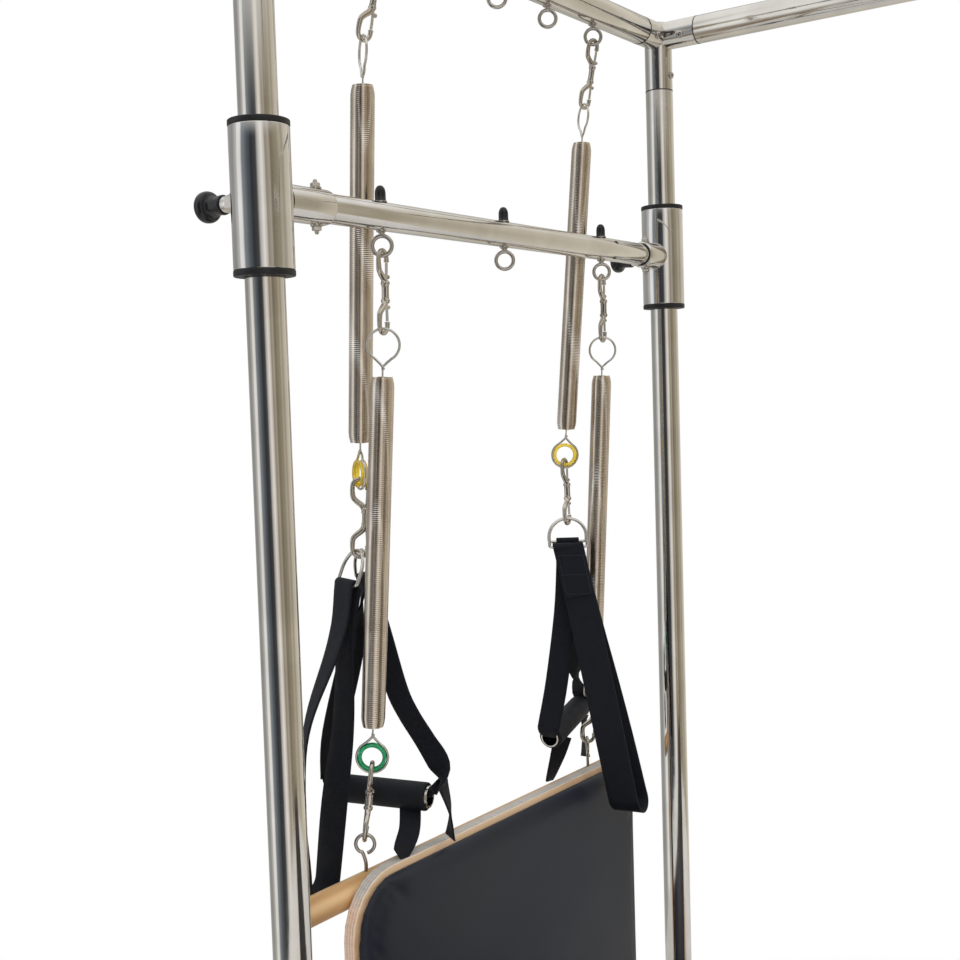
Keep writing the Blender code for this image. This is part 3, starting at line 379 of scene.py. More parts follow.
# The near leg of a handle, and the turns of its two tails from top to foot.
NEAR_LEG = ((0.12, 0.12), (0.36, 0.36), (0.74, 0.70), (0.96, 0.91))
TAIL_TURNS = ((0.0, 62.0), (62.0, 118.0))
HANDS = {
    "left": HandPlan(
        side=-1, top_snap_lean=(14.3, -1.75), spring_lean=(4.6, 1.55), snap_lean=(4.0, 1.4),
        green_leans=((2.4, 1.2), (4.2, -0.58), (6.9, -3.5)), yellow_loop_turn=64.0, green_loop_turn=0.0,
        loop_tilt=22.0, loop_step=(-0.062, -0.030), loop_drop=0.732,
        grip_step=(0.011, 0.038), grip_drop=0.637, ring_turn=30.0, grip_turn=-20.0,
        loop_legs=((0.0, 0.0043, 0.0043, 34, 34), (0.17, 0.0046, 0.0056, 32, 28),
                   (0.48, 0.0150, 0.0265, 42, 14), (0.72, 0.0165, 0.0240, 50, 18),
                   (1.0, 0.0180, 0.0180, 46, 46)),
        far_leg=((0.20, 0.26), (0.38, 0.51), (0.56, 0.63), (0.84, 0.75), (1.08, 0.85), (1.11, 0.95)),
        tails=(((0.0094, -0.0337, -0.011), (-0.0124, -0.0487, -0.034), (-0.0399, -0.0557, -0.0528)),
               ((0.0300, -0.0650, 0.012), (0.0370, -0.0695, -0.022), (0.0393, -0.0665, -0.0525)))),
    "right": HandPlan(
        side=1, top_snap_lean=(12.0, 0.0), spring_lean=(4.0, -2.4), snap_lean=(-4.0, -4.0),
        green_leans=((1.4, 1.3), (4.6, 1.4), (5.2, -2.8)), yellow_loop_turn=0.0, green_loop_turn=76.0,
        loop_tilt=10.0, loop_step=(0.070, -0.053), loop_drop=0.738,
        grip_step=(-0.007, 0.053), grip_drop=0.644, ring_turn=0.0, grip_turn=-24.0,
        loop_legs=((0.0, 0.0043, 0.0043, 0, 0), (0.25, 0.0060, 0.0070, -10, -14),
                   (0.5, 0.0100, 0.0140, -18, -24), (0.75, 0.0150, 0.0180, -22, -28),
                   (1.0, 0.0180, 0.0180, -26, -30)),
        far_leg=NEAR_LEG,
        tails=(((-0.0215, -0.0092, -0.0144), (-0.0270, -0.0020, -0.044), (-0.0340, 0.0070, -0.076)),
               ((0.0587, 0.0045, -0.008), (0.0610, 0.0080, -0.034), (0.0585, 0.0050, -0.064)))),
}
PADS = {
    "board_pad": PadPlan(0.0045, 3.0, 0.003, (0.0, 1.0, 0.0), 0.0035, 1),
    "mat": PadPlan(0.0100, 4.0, 0.006, (0.0, 0.0, -1.0), 0.005, 0),
}
CLOTH_FRAMES = 20
LAMPS = {
    "key": LampPlan((-3.2, -1.6, 3.2), 1.5, 2.2, 70.0),
    "fill": LampPlan((2.6, -2.6, 2.6), 1.3, 2.2, 40.0),
    "top": LampPlan((0.0, 0.2, 4.2), 0.0, 3.0, 45.0, 0.4),
}
FLOOR_RADIUS = 2.7
FLOOR_FADE = (1.5, 2.6)
SOFT_LIGHT = ("#F4F5F7", 0.55)
# Tones of the room that the metal shows, by azimuth from -180 to 180 degrees as a share, and by height.
WALL_TONES = ((0.0, "#565D65"), (0.03, "#3A3D42"), (0.075, "#4A4B4E"), (0.105, "#CFCCC9"), (0.118, "#E8E5E1"),
              (0.135, "#FFFCF8"), (0.16, "#E2DCD4"), (0.178, "#A79E91"), (0.215, "#B9B1A3"), (0.235, "#8B8170"),
              (0.30, "#A29985"), (0.345, "#BFB7A6"), (0.37, "#AFA796"), (0.42, "#D6CFC0"), (0.50, "#E3DDD1"),
              (0.62, "#B0AFAA"), (0.78, "#A0A0A0"), (0.845, "#C9CACB"), (0.865, "#FFFFFF"), (0.90, "#FFFFFF"),
              (0.93, "#8A929A"), (1.0, "#565D65"))
GROUND_TONES = ((0.0, "#403629"), (0.12, "#7D7161"), (0.20, "#CFC9BE"), (0.45, "#E0DBD1"), (0.75, "#CFCAC0"),
                (0.84, "#8C7C69"), (0.92, "#5A4A3A"), (1.0, "#403629"))
CEILING_TONES = ((0.2, "#ECE9E3"), (0.7, "#FFFFFF"))

BOARD = BoardPlan()
CAMERA = CameraPlan()
CANOPY = CanopyPlan()
CROSS = CrossBarPlan()
DOWEL = DowelPlan()
EYE = EyePlan()
SEAM = SeamPlan()
SPRING = SpringPlan()
SNAP = SnapPlan()
STRAP = StrapPlan()


def linear(hex_colour: str) -> tuple[float, float, float, float]:
    """Convert an sRGB hex colour to linear RGBA.

    Args:
        hex_colour: colour as "#RRGGBB".
    Returns:
        Linear red, green, blue and an alpha of 1.
    """
    channels = [int(hex_colour[i:i + 2], 16) / 255 for i in (1, 3, 5)]
    lit = [c / 12.92 if c <= 0.04045 else ((c + 0.055) / 1.055) ** 2.4 for c in channels]
    return (lit[0], lit[1], lit[2], 1.0)


class Nodes:
    """Lays procedural nodes out in one tree."""

    def __init__(self, tree: bpy.types.NodeTree) -> None:
        self.tree = tree

    def add(self, kind: str, inputs: dict[str | int, object] | None = None, **settings: object) -> bpy.types.Node:
        """Add a node, set its properties and feed its inputs.

        Args:
            kind: node type without its ShaderNode prefix.
            inputs: for each input an output to link, or a literal value.
            settings: node properties.
        Returns:
            The node.
        """
        node = self.tree.nodes.new(f"ShaderNode{kind}")
        for key, value in settings.items():
            setattr(node, key, value)
        for key, value in (inputs or {}).items():
            if isinstance(value, Socket):
                self.wire(value, node.inputs[key])
            else:
                node.inputs[key].default_value = value
        return node

    def wire(self, source: Socket, target: Socket) -> None:
        """Link an output to an input."""
        self.tree.links.new(source, target)

    def axes(self, vector: Socket) -> bpy.types.NodeOutputs:
        """Split a vector into its X, Y and Z outputs."""
        return self.add("SeparateXYZ", {"Vector": vector}).outputs

    def ramp(self, value: Socket, stops: Stops, interpolation: str = "LINEAR") -> Socket:
        """Colour ramp through hex colours.

        Args:
            value: the driving value.
            stops: positions and colours.
            interpolation: how it passes between them.
        Returns:
            The colour output.
        """
        node = self.add("ValToRGB", {"Fac": value})
        elements = node.color_ramp.elements
        node.color_ramp.interpolation = interpolation
        while len(elements) < len(stops):
            elements.new(0.5)
        for element, (position, colour) in zip(elements, stops):
            element.position = position
            element.color = linear(colour)
        return node.outputs["Color"]

    def spread(self, value: Socket, low: float, high: float, at_low: float = 0.0, at_high: float = 1.0,
               interpolation: str = "LINEAR") -> Socket:
        """Map a value from one range to another, clamped.

        Args:
            value: the driving value.
            low: start of its range.
            high: end of its range.
            at_low: result at the start.
            at_high: result at the end.
            interpolation: how it passes between them.
        Returns:
            The mapped value.
        """
        return self.add("MapRange", {"Value": value, "From Min": low, "From Max": high, "To Min": at_low,
                                     "To Max": at_high}, interpolation_type=interpolation).outputs["Result"]

    def math(self, operation: str, first: Socket, second: Socket | float = 0.0) -> Socket:
        """Arithmetic on one or two values."""
        return self.add("Math", {0: first, 1: second}, operation=operation).outputs["Value"]

    def weighed(self, first: Socket, share: float, second: Socket) -> Socket:
        """Sum of a share of one value and the rest of another."""
        return self.math("ADD", self.math("MULTIPLY", first, share), self.math("MULTIPLY", second, 1 - share))

    def mix(self, factor: Socket, first: Socket, second: Socket) -> Socket:
        """Blend two colours by the share of the second."""
        return self.add("Mix", {0: factor, 6: first, 7: second}, data_type="RGBA").outputs[2]

    def merge(self, factor: Socket, first: Socket, second: Socket) -> Socket:
        """Blend two shaders by the share of the second."""
        return self.add("MixShader", {0: factor, 1: first, 2: second}).outputs[0]


class Shader(Nodes):
    """One material, laid out around its Principled shader."""

    NOISE_RANGE = (0.3, 0.7)

    def __init__(self, name: str) -> None:
        self.material = bpy.data.materials.new(name)
        self.material.use_nodes = True
        super().__init__(self.material.node_tree)
        self.surface = self.tree.nodes["Principled BSDF"]
        self.coords = self.add("TexCoord")

    def set(self, **values: object) -> None:
        """Set sockets of the Principled shader by name, with underscores for spaces.

        Args:
            values: socket names and their literal values.
        """
        for key, value in values.items():
            self.surface.inputs[key.replace("_", " ")].default_value = value

    def stretched(self, scale: Point = (1, 1, 1), uv: bool = False) -> Socket:
        """Object or UV coordinates scaled per axis.

        Args:
            scale: factor on each axis.
            uv: whether UVs, which are in metres, are used.
        Returns:
            The vector output.
        """
        source = self.coords.outputs["UV" if uv else "Object"]
        return self.add("Mapping", {"Vector": source, "Scale": scale}).outputs["Vector"]

    def noise(self, scale: float, detail: float, distortion: float = 0.0, vector: Socket | None = None) -> Socket:
        """Noise value.

        Args:
            scale: frequency.
            detail: octaves.
            distortion: warp of the pattern.
            vector: coordinates, the object's own where none are given.
        Returns:
            The factor output.
        """
        vector = self.stretched() if vector is None else vector
        return self.add("TexNoise", {"Scale": scale, "Detail": detail, "Distortion": distortion,
                                     "Vector": vector}).outputs["Fac"]

    def cells(self, scale: float, feature: str) -> Socket:
        """Distance output of a Voronoi pattern on the object's coordinates."""
        return self.add("TexVoronoi", {"Scale": scale, "Vector": self.stretched()},
                        feature=feature).outputs["Distance"]

    def toned(self, value: Socket, dark: str, light: str) -> None:
        """Colour the surface between two tones over a noise's usual range."""
        low, high = self.NOISE_RANGE
        self.colour(self.ramp(value, ((low, dark), (high, light))))

    def colour(self, socket: Socket) -> None:
        """Drive the base colour."""
        self.wire(socket, self.surface.inputs["Base Color"])

    def roughness(self, value: Socket, at_low: float, at_high: float) -> None:
        """Drive the roughness between two values over a noise's usual range."""
        self.wire(self.spread(value, *self.NOISE_RANGE, at_low, at_high), self.surface.inputs["Roughness"])

    def bump(self, height: Socket, strength: float, distance: float) -> None:
        """Bump the surface, on top of any bump already there.

        Args:
            height: the height value.
            strength: share of the effect.
            distance: height in metres that a value of one stands for.
        """
        node = self.add("Bump", {"Strength": strength, "Distance": distance, "Height": height})
        socket = self.surface.inputs["Normal"]
        if socket.is_linked:
            self.wire(socket.links[0].from_socket, node.inputs["Normal"])
        self.wire(node.outputs["Normal"], socket)


@dataclass(frozen=True)
class MetalLook:
    """Colours, gloss and surface marks of one metal."""

    dark: str
    light: str
    smooth: float
    rough: float
    mark_scale: Point
    bump: float
    patch_scale: float = 14.0

    @property
    def on_uv(self) -> bool:
        """Whether the marks follow the piece's UVs, which have no third axis to stretch."""
        return self.mark_scale[2] == 1.0


@dataclass(frozen=True)
class MouldedLook:
    """Colours, gloss and grain of one opaque plastic; the shadow gap's painted shade uses it too."""

    dark: str
    light: str
    smooth: float
    rough: float
    grain: float


@dataclass(frozen=True)
class WoodLook:
    """Grain axis and colours of one wood."""

    axis: int
    dark: str
    mid: str
    light: str


METALS = {
    Finish.TUBE: MetalLook("#D0CCC5", "#E0DDD7", 0.05, 0.13, (900.0, 6.0, 1.0), 0.04),
    Finish.COLLAR: MetalLook("#D4D2CE", "#E3E1DE", 0.03, 0.09, (40.0, 700.0, 1.0), 0.02),
    Finish.FASTENER: MetalLook("#B3AEA7", "#D4D0C9", 0.18, 0.34, (300.0, 300.0, 300.0), 0.12),
    Finish.SNAP: MetalLook("#B5ADA1", "#D8D1C6", 0.14, 0.30, (220.0, 220.0, 220.0), 0.22),
    Finish.RING: MetalLook("#CECBC5", "#E4E1DC", 0.06, 0.16, (260.0, 260.0, 260.0), 0.06),
    Finish.WIRE: MetalLook("#B1ACA5", "#D1CCC4", 0.12, 0.26, (300.0, 300.0, 300.0), 0.12),
    Finish.SPRING: MetalLook("#CDC0B0", "#E7DBCC", 0.11, 0.18, (40.0, 8.0, 1.0), 0.01, 22.0),
}
MOULDED = {
    Finish.PLASTIC: MouldedLook("#0A0B0E", "#16181C", 0.22, 0.38, 0.10),
    Finish.RUBBER: MouldedLook("#0E0E10", "#1A1A1C", 0.45, 0.60, 0.18),
    # Painted shade: dark pieces laid in seams, screw sockets and collar mouths, where shade falls.
    Finish.SHADOW_GAP: MouldedLook("#23201D", "#38342F", 0.6, 0.8, 0.05),
}
TINTED = {Finish.AMBER: ("#F0CE1A", "#FFEC66"), Finish.GREEN: ("#078049", "#30C482")}
WOODS = {
    Finish.WOOD_X: WoodLook(0, "#C09463", "#D6AE7E", "#E3C397"),
    Finish.WOOD_Y: WoodLook(1, "#C09463", "#D6AE7E", "#E3C397"),
    Finish.DOWEL: WoodLook(0, "#A97F50", "#C49A68", "#D6B384"),
    Finish.VENEER: WoodLook(1, "#CFA67C", "#DDBB95", "#E8CCAC"),
}


class Finishes:
    """Builds each finish once and hands it out."""

    LACQUER_ROUGH = (0.34, 0.46)
    LAYER_PITCH = 0.0036
    RIB_PITCH = 0.0017
    PICK_PITCH = 0.0016

    def __init__(self) -> None:
        self.made: dict[Finish, bpy.types.Material] = {}

    def get(self, finish: Finish) -> bpy.types.Material:
        """Find or build a finish.

        Args:
            finish: which one.
        Returns:
            Its material.
        """
        if finish not in self.made:
            shader = Shader(finish.value)
            for table, build in ((METALS, self.metal), (MOULDED, self.moulded), (TINTED, self.tinted),
                                 (WOODS, self.wood)):
                if finish in table:
                    build(shader, table[finish])
                    break
            else:
                getattr(self, finish.name.lower())(shader)
            self.made[finish] = shader.material
        return self.made[finish]

    @staticmethod
    def metal(shader: Shader, look: MetalLook) -> None:
        """Polished or plated metal with drawn marks, smudges and tone patches."""
        shader.set(Metallic=1.0)
        marks = shader.noise(1.0, 4.0, vector=shader.stretched(look.mark_scale, look.on_uv))
        patches = shader.noise(look.patch_scale, 4.0, 0.6)
        smudge = shader.noise(look.patch_scale * 5, 5.0, 1.2, shader.stretched((1, 1, 0.4)))
        shader.toned(patches, look.dark, look.light)
        shader.roughness(shader.weighed(smudge, 0.6, marks), look.smooth, look.rough)
        shader.bump(marks, look.bump, 0.0004)

    @staticmethod
    def moulded(shader: Shader, look: MouldedLook) -> None:
        """Moulded black plastic or rubber with fine grain and handling wear; the shadow gap's painted shade is
        coloured the same way.
        """
        wear = shader.noise(60.0, 5.0, 0.8)
        shader.colour(shader.ramp(wear, ((0.3, look.dark), (0.75, look.light))))
        shader.roughness(wear, look.rough, look.smooth)
        shader.bump(shader.noise(1400.0, 3.0), look.grain, 0.0003)

    @staticmethod
    def tinted(shader: Shader, tones: tuple[str, str]) -> None:
        """Translucent moulded plastic with slight clouding."""
        cloud = shader.noise(150.0, 4.0, 0.6)
        shader.toned(cloud, *tones)
        shader.roughness(cloud, 0.16, 0.26)
        shader.bump(shader.noise(900.0, 2.0), 0.05, 0.0003)
        shader.set(Transmission_Weight=0.55, IOR=1.49, Coat_Weight=0.25, Coat_Roughness=0.12)

    def webbing(self, shader: Shader) -> None:
        """Nylon webbing: ribs along the strap, crossed by the weft's short diagonals."""
        place = shader.axes(shader.coords.outputs["UV"])
        ribs = shader.math("SINE", shader.math("MULTIPLY", place["X"], math.tau / self.RIB_PITCH))
        along = shader.math("MULTIPLY", place["Y"], math.tau / self.PICK_PITCH)
        slant = shader.math("MULTIPLY", shader.math("ABSOLUTE", ribs), 2.2)
        weave = shader.weighed(ribs, 0.5, shader.math("SINE", shader.math("ADD", along, slant)))
        wear_and_top_grey = shader.noise(35.0, 5.0, 0.8)
        tone = shader.weighed(shader.spread(weave, -1, 1), 0.5, wear_and_top_grey)
        shader.colour(shader.ramp(tone, ((0.2, "#07080D"), (0.55, "#0F1118"), (0.85, "#1B1F2A"))))
        shader.roughness(wear_and_top_grey, 0.62, 0.82)
        shader.bump(weave, 0.55, 0.0004)
        shader.bump(shader.noise(2200.0, 2.0), 0.25, 0.0002)
        shader.set(Sheen_Weight=0.12, Sheen_Roughness=0.4, Sheen_Tint=linear("#5A6070"),
                   Specular_IOR_Level=0.32)

    @staticmethod
    def thread(shader: Shader) -> None:
        """Waxed sewing thread, twisted along its length."""
        twist = shader.noise(1800.0, 2.0, vector=shader.stretched((1, 1, 3)))
        shader.toned(twist, "#16181F", "#343845")
        shader.roughness(twist, 0.5, 0.7)
        shader.bump(twist, 0.4, 0.0002)

    @staticmethod
    def foam(shader: Shader) -> None:
        """Closed-cell foam with open pores in its skin."""
        rub = shader.noise(45.0, 4.0, 0.5)
        shader.toned(rub, "#0E1014", "#191C22")
        shader.roughness(rub, 0.58, 0.78)
        shader.bump(shader.cells(900.0, "F1"), 0.25, 0.0003)
        shader.set(Specular_IOR_Level=0.35)

    @staticmethod
    def vinyl(shader: Shader) -> None:
        """Upholstery vinyl with pebbled leather grain."""
        tone = shader.noise(5.0, 4.0, 0.6)
        shader.toned(tone, "#10151E", "#19202C")
        shader.roughness(tone, 0.42, 0.54)
        shader.bump(shader.spread(shader.cells(620.0, "DISTANCE_TO_EDGE"), 0.0, 0.2), 0.22, 0.0003)
        shader.bump(shader.noise(1500.0, 3.0), 0.12, 0.0002)
        shader.set(Specular_IOR_Level=0.36, Coat_Weight=0.05, Coat_Roughness=0.35)

    def wood(self, shader: Shader, look: WoodLook) -> None:
        """Clear-lacquered wood whose grain runs along one axis."""
        flow, fine = (shader.stretched([along if i == look.axis else 1.0 for i in range(3)])
                      for along in (0.07, 0.03))
        bend = shader.noise(9.0, 4.0, 1.0, flow)
        rings = shader.add("TexWave", {"Scale": 16.0, "Distortion": 3.2, "Detail": 3.0, "Detail Scale": 1.4,
                                       "Vector": flow}, wave_type="RINGS", rings_direction="XYZ"[look.axis])
        pores = shader.noise(900.0, 3.0, vector=fine)
        tone = shader.weighed(rings.outputs["Fac"], 0.35, bend)
        base = shader.ramp(tone, ((0.2, look.dark), (0.5, look.mid), (0.8, look.light)))
        fleck = shader.ramp(pores, ((0.30, look.dark), (0.42, look.light)))
        shader.colour(shader.mix(shader.spread(pores, 0.30, 0.42, 0.35, 0.0), base, fleck))
        shader.roughness(bend, *self.LACQUER_ROUGH)
        shader.bump(pores, 0.10, 0.0003)
        shader.set(Coat_Weight=0.15, Coat_Roughness=0.25)

    def ply(self, shader: Shader) -> None:
        """Plywood: veneer on its faces, thin layers along its edges, and a greyer tone where an edge faces up."""
        grain = shader.noise(60.0, 4.0, 0.8, shader.stretched((0.06, 1.0, 1.0)))
        look = WOODS[Finish.VENEER]
        veneer = shader.ramp(grain, ((0.25, look.dark), (0.55, look.mid), (0.8, look.light)))
        wobble = shader.math("MULTIPLY", shader.noise(25.0, 2.0), 0.0006)
        depth = shader.math("ADD", shader.axes(shader.coords.outputs["Object"])["Y"], wobble)
        layer = shader.math("SINE", shader.math("MULTIPLY", depth, math.tau / self.LAYER_PITCH))
        fibres = shader.noise(420.0, 3.0, vector=shader.stretched((1.0, 0.2, 1.0)))
        tone = shader.weighed(shader.spread(layer, -0.6, 0.6), 0.30, fibres)
        edge = shader.ramp(tone, ((0.2, "#C7A084"), (0.5, "#DCC0AA"), (0.8, "#E6CFBC")))
        # Greyer tones for the edges that face up, chosen by the surface normal.
        wear_and_top_grey = shader.ramp(tone, ((0.2, "#9C958C"), (0.5, "#B4AEA6"), (0.8, "#C6C1BA")))
        facing = shader.axes(shader.add("NewGeometry").outputs["Normal"])
        rim = shader.mix(shader.spread(facing["Z"], 0.45, 0.75), edge, wear_and_top_grey)
        flat = shader.spread(shader.math("ABSOLUTE", facing["Y"]), 0.75, 0.9)
        shader.colour(shader.mix(flat, rim, veneer))
        shader.roughness(fibres, 0.38, 0.52)
        shader.bump(tone, 0.12, 0.0002)
        shader.set(Coat_Weight=0.12, Coat_Roughness=0.3)


def frame_at(origin: Point, z_axis: Point, x_hint: Point = (1, 0, 0)) -> Matrix:
    """Place a local frame.

    Args:
        origin: where it starts.
        z_axis: direction of its Z.
        x_hint: direction that its X comes nearest to.
    Returns:
        The placement matrix.
    """
    z = Vector(z_axis).normalized()
    x = Vector(x_hint)
    x = (x - z * x.dot(z)).normalized()
    return Matrix.Translation(origin) @ Matrix((x, z.cross(x), z)).transposed().to_4x4()


def softened(points: Sequence[Point], radius: float, steps: int = 4, closed: bool = False) -> list[tuple]:
    """Round the corners of a line of points.

    Args:
        points: corners of the line, in two or three axes.
        radius: how far from each corner the curve starts.
        steps: points per corner, less one.
        closed: whether the line closes on itself.
    Returns:
        The rounded line.
    """
    corners = [Vector(p) for p in points]
    count = len(corners)
    out: list[Vector] = []
    for i, here in enumerate(corners):
        if not closed and i in (0, count - 1):
            out.append(here)
            continue
        before, after = corners[i - 1], corners[(i + 1) % count]
        a = here + (before - here) * min(0.48, radius / max((before - here).length, 1e-9))
        b = here + (after - here) * min(0.48, radius / max((after - here).length, 1e-9))
        for k in range(steps + 1):
            t = k / steps
            out.append(a * (1 - t) ** 2 + here * (2 * t * (1 - t)) + b * t ** 2)
    return [tuple(p) for p in out]


def catmull_rom(a: Vector | float, b: Vector | float, c: Vector | float, d: Vector | float,
                t: float) -> Vector | float:
    """Point at a share of the smooth span from b to c, with a and d beside it."""
    return 0.5 * (2 * b + (c - a) * t + (2 * a - 5 * b + 4 * c - d) * t * t + (3 * b - a - 3 * c + d) * t ** 3)


def flowing(points: Sequence[Point], per_span: int = 6, closed: bool = False) -> list[Vector]:
    """Pass a smooth Catmull-Rom line through points.

    Args:
        points: places that it passes through.
        per_span: steps between two places.
        closed: whether it closes on itself.
    Returns:
        The line's points.
    """
    ps = [Vector(p) for p in points]
    count = len(ps)
    spans = count if closed else count - 1
    out = []
    for i in range(spans):
        if closed:
            a, b, c, d = ps[i - 1], ps[i], ps[(i + 1) % count], ps[(i + 2) % count]
        else:
            a, b, c, d = ps[max(i - 1, 0)], ps[i], ps[i + 1], ps[min(i + 2, count - 1)]
        out += [catmull_rom(a, b, c, d, k / per_span) for k in range(per_span)]
    if not closed:
        out.append(ps[-1].copy())
    return out


def eased(table: Sequence[Sequence[float]], share: float, column: int) -> float:
    """Read a column of a table at a share, passing smoothly through its rows.

    Args:
        table: rows that start with their share, in order.
        share: where to read, from 0 to 1.
        column: which column.
    Returns:
        The value there.
    """
    last = len(table) - 1
    i = max(k for k in range(last) if table[k][0] <= share)
    t = min(1.0, (share - table[i][0]) / (table[i + 1][0] - table[i][0]))
    a, b, c, d = (table[k][column] for k in (max(i - 1, 0), i, i + 1, min(i + 2, last)))
    return catmull_rom(a, b, c, d, t)


def around(steps: int) -> list[float]:
    """Angles of a full turn in equal steps, without its end."""
    return [math.tau * i / steps for i in range(steps)]


def half_turn(steps: int) -> list[float]:
    """Angles of half a turn in equal steps, with both ends."""
    return [math.pi * i / steps for i in range(steps + 1)]


def tangents(line: Sequence[Vector], closed: bool) -> list[Vector]:
    """Direction of a line at each of its points.

    Args:
        line: its points.
        closed: whether it closes on itself.
    Returns:
        The unit directions.
    """
    count = len(line)
    out = []
    for i in range(count):
        before = line[i - 1] if closed or i else line[0]
        after = line[(i + 1) % count] if closed or i < count - 1 else line[-1]
        out.append((after - before).normalized())
    return out


def linked(name: str, data: bpy.types.ID) -> bpy.types.Object:
    """Make an object of some data and put it in the scene."""
    made = bpy.data.objects.new(name, data)
    bpy.context.scene.collection.objects.link(made)
    return made


def crisp(mesh: bpy.types.Mesh, angle: float) -> None:
    """Shade a mesh smooth, apart from edges above an angle in degrees."""
    mesh.shade_smooth()
    mesh.set_sharp_from_angle(angle=math.radians(angle))


class Workshop:
    """Makes pieces, gives each its finish and seats it on its body."""

    WELD = 0.00002
    FLAT_ANGLE = 1.5
    SOLID_SHARP = 35.0
    BEVEL_ANGLE = 40.0
    FLAT_STEPS = 5
    SELVEDGE = 0.55

    def __init__(self, finishes: Finishes) -> None:
        self.finishes = finishes

    def finished(self, piece: bpy.types.Object, finish: Finish, body: str,
                 replaces: Sequence[str] = ()) -> bpy.types.Object:
        """Give a piece its material, body and CAD nodes.

        Args:
            piece: the piece, in place.
            finish: its finish.
            body: the body that it rides on.
            replaces: CAD nodes that it stands for.
        Returns:
            The piece.
        """
        piece.data.materials.clear()
        piece.data.materials.append(self.finishes.get(finish))
        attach(piece, body)
        if replaces:
            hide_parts(*replaces)
        return piece

    def skin(self, name: str, rows: Sequence[Sequence[Vector]], finish: Finish, body: str,
             replaces: Sequence[str] = (), closed: bool = False, caps: bool = True,
             sharp: float = 40.0) -> bpy.types.Object:
        """Skin rings of points into one closed piece with UVs in metres.

        Args:
            name: the piece's name.
            rows: rings of equal count, in order.
            finish: its finish.
            body: the body that it rides on.
            replaces: CAD nodes that it stands for.
            closed: whether the last ring joins the first.
            caps: whether end rings are filled.
            sharp: angle in degrees above which an edge stays crisp.
        Returns:
            The piece.
        """
        around, count = len(rows[0]), len(rows)
        verts = [point for row in rows for point in row]
        faces, uvs = [], []
        steps_u = [0.0]
        for j in range(around):
            middle = rows[count // 2]
            steps_u.append(steps_u[-1] + (middle[(j + 1) % around] - middle[j]).length)
        steps_v = [0.0]
        for i in range(count if closed else count - 1):
            gap = rows[(i + 1) % count][0] - rows[i][0]
            steps_v.append(steps_v[-1] + gap.length)
        for i in range(count if closed else count - 1):
            k = (i + 1) % count
            for j in range(around):
                m = (j + 1) % around
                faces.append((i * around + j, i * around + m, k * around + m, k * around + j))
                u0, u1, v0, v1 = steps_u[j], steps_u[j + 1], steps_v[i], steps_v[i + 1]
                uvs += [(u0, v0), (u1, v0), (u1, v1), (u0, v1)]
        if caps and not closed:
            faces.append(tuple(reversed(range(around))))
            faces.append(tuple((count - 1) * around + j for j in range(around)))
            uvs += [(p.x, p.y) for p in reversed(rows[0])] + [(p.x, p.y) for p in rows[-1]]
        mesh = bpy.data.meshes.new(name)
        mesh.from_pydata([tuple(v) for v in verts], [], faces)
        layer = mesh.uv_layers.new(name="metres")
        for spot, uv in zip(layer.data, uvs):
            spot.uv = uv
        shape = bmesh.new()
        shape.from_mesh(mesh)
        bmesh.ops.recalc_face_normals(shape, faces=shape.faces)
        shape.to_mesh(mesh)
        shape.free()
        crisp(mesh, sharp)
        return self.finished(linked(name, mesh), finish, body, replaces)

    def lathe(self, name: str, profile: Sequence[Point], finish: Finish, frame: Matrix, body: str,
              replaces: Sequence[str] = (), steps: int = 64, hollow: bool = False,
              sharp: float = 40.0) -> bpy.types.Object:
        """Turn a profile of (radius, height) points about the frame's Z.

        Args:
            name: the piece's name.
            profile: points along the wall.
            finish: its finish.
            frame: where it stands.
            body: the body that it rides on.
            replaces: CAD nodes that it stands for.
            steps: facets around.
            hollow: whether the profile closes on itself instead of being capped.
            sharp: angle in degrees above which an edge stays crisp.
        Returns:
            The piece.
        """
        rows = [[frame @ Vector((radius * math.cos(a), radius * math.sin(a), height)) for a in around(steps)]
                for radius, height in profile]
        return self.skin(name, rows, finish, body, replaces, closed=hollow, caps=not hollow, sharp=sharp)

    def sweep(self, name: str, path: Sequence[Vector], radii: float | Sequence[float], finish: Finish,
              body: str, replaces: Sequence[str] = (), sides: int = 10,
              closed: bool = False) -> bpy.types.Object:
        """Sweep a round section along a line.

        Args:
            name: the piece's name.
            path: the line, in the row frame.
            radii: one radius, or one for each point.
            finish: its finish.
            body: the body that it rides on.
            replaces: CAD nodes that it stands for.
            sides: facets around.
            closed: whether the line closes on itself.
        Returns:
            The piece.
        """
        count = len(path)
        sizes = [radii] * count if isinstance(radii, float) else list(radii)
        ways = tangents(path, closed)
        normals = [ways[0].orthogonal().normalized()]
        for before, way in zip(ways, ways[1:]):
            normals.append((before.rotation_difference(way) @ normals[-1]).normalized())
        twist = 0.0
        if closed:
            back = (ways[-1].rotation_difference(ways[0]) @ normals[-1]).normalized()
            twist = math.atan2(ways[0].dot(back.cross(normals[0])), back.dot(normals[0]))
        rows = []
        for i, (point, way, normal, size) in enumerate(zip(path, ways, normals, sizes)):
            binormal = way.cross(normal)
            turned = [a + twist * i / count for a in around(sides)]
            rows.append([point + (normal * math.cos(a) + binormal * math.sin(a)) * size for a in turned])
        return self.skin(name, rows, finish, body, replaces, closed=closed, sharp=60.0)

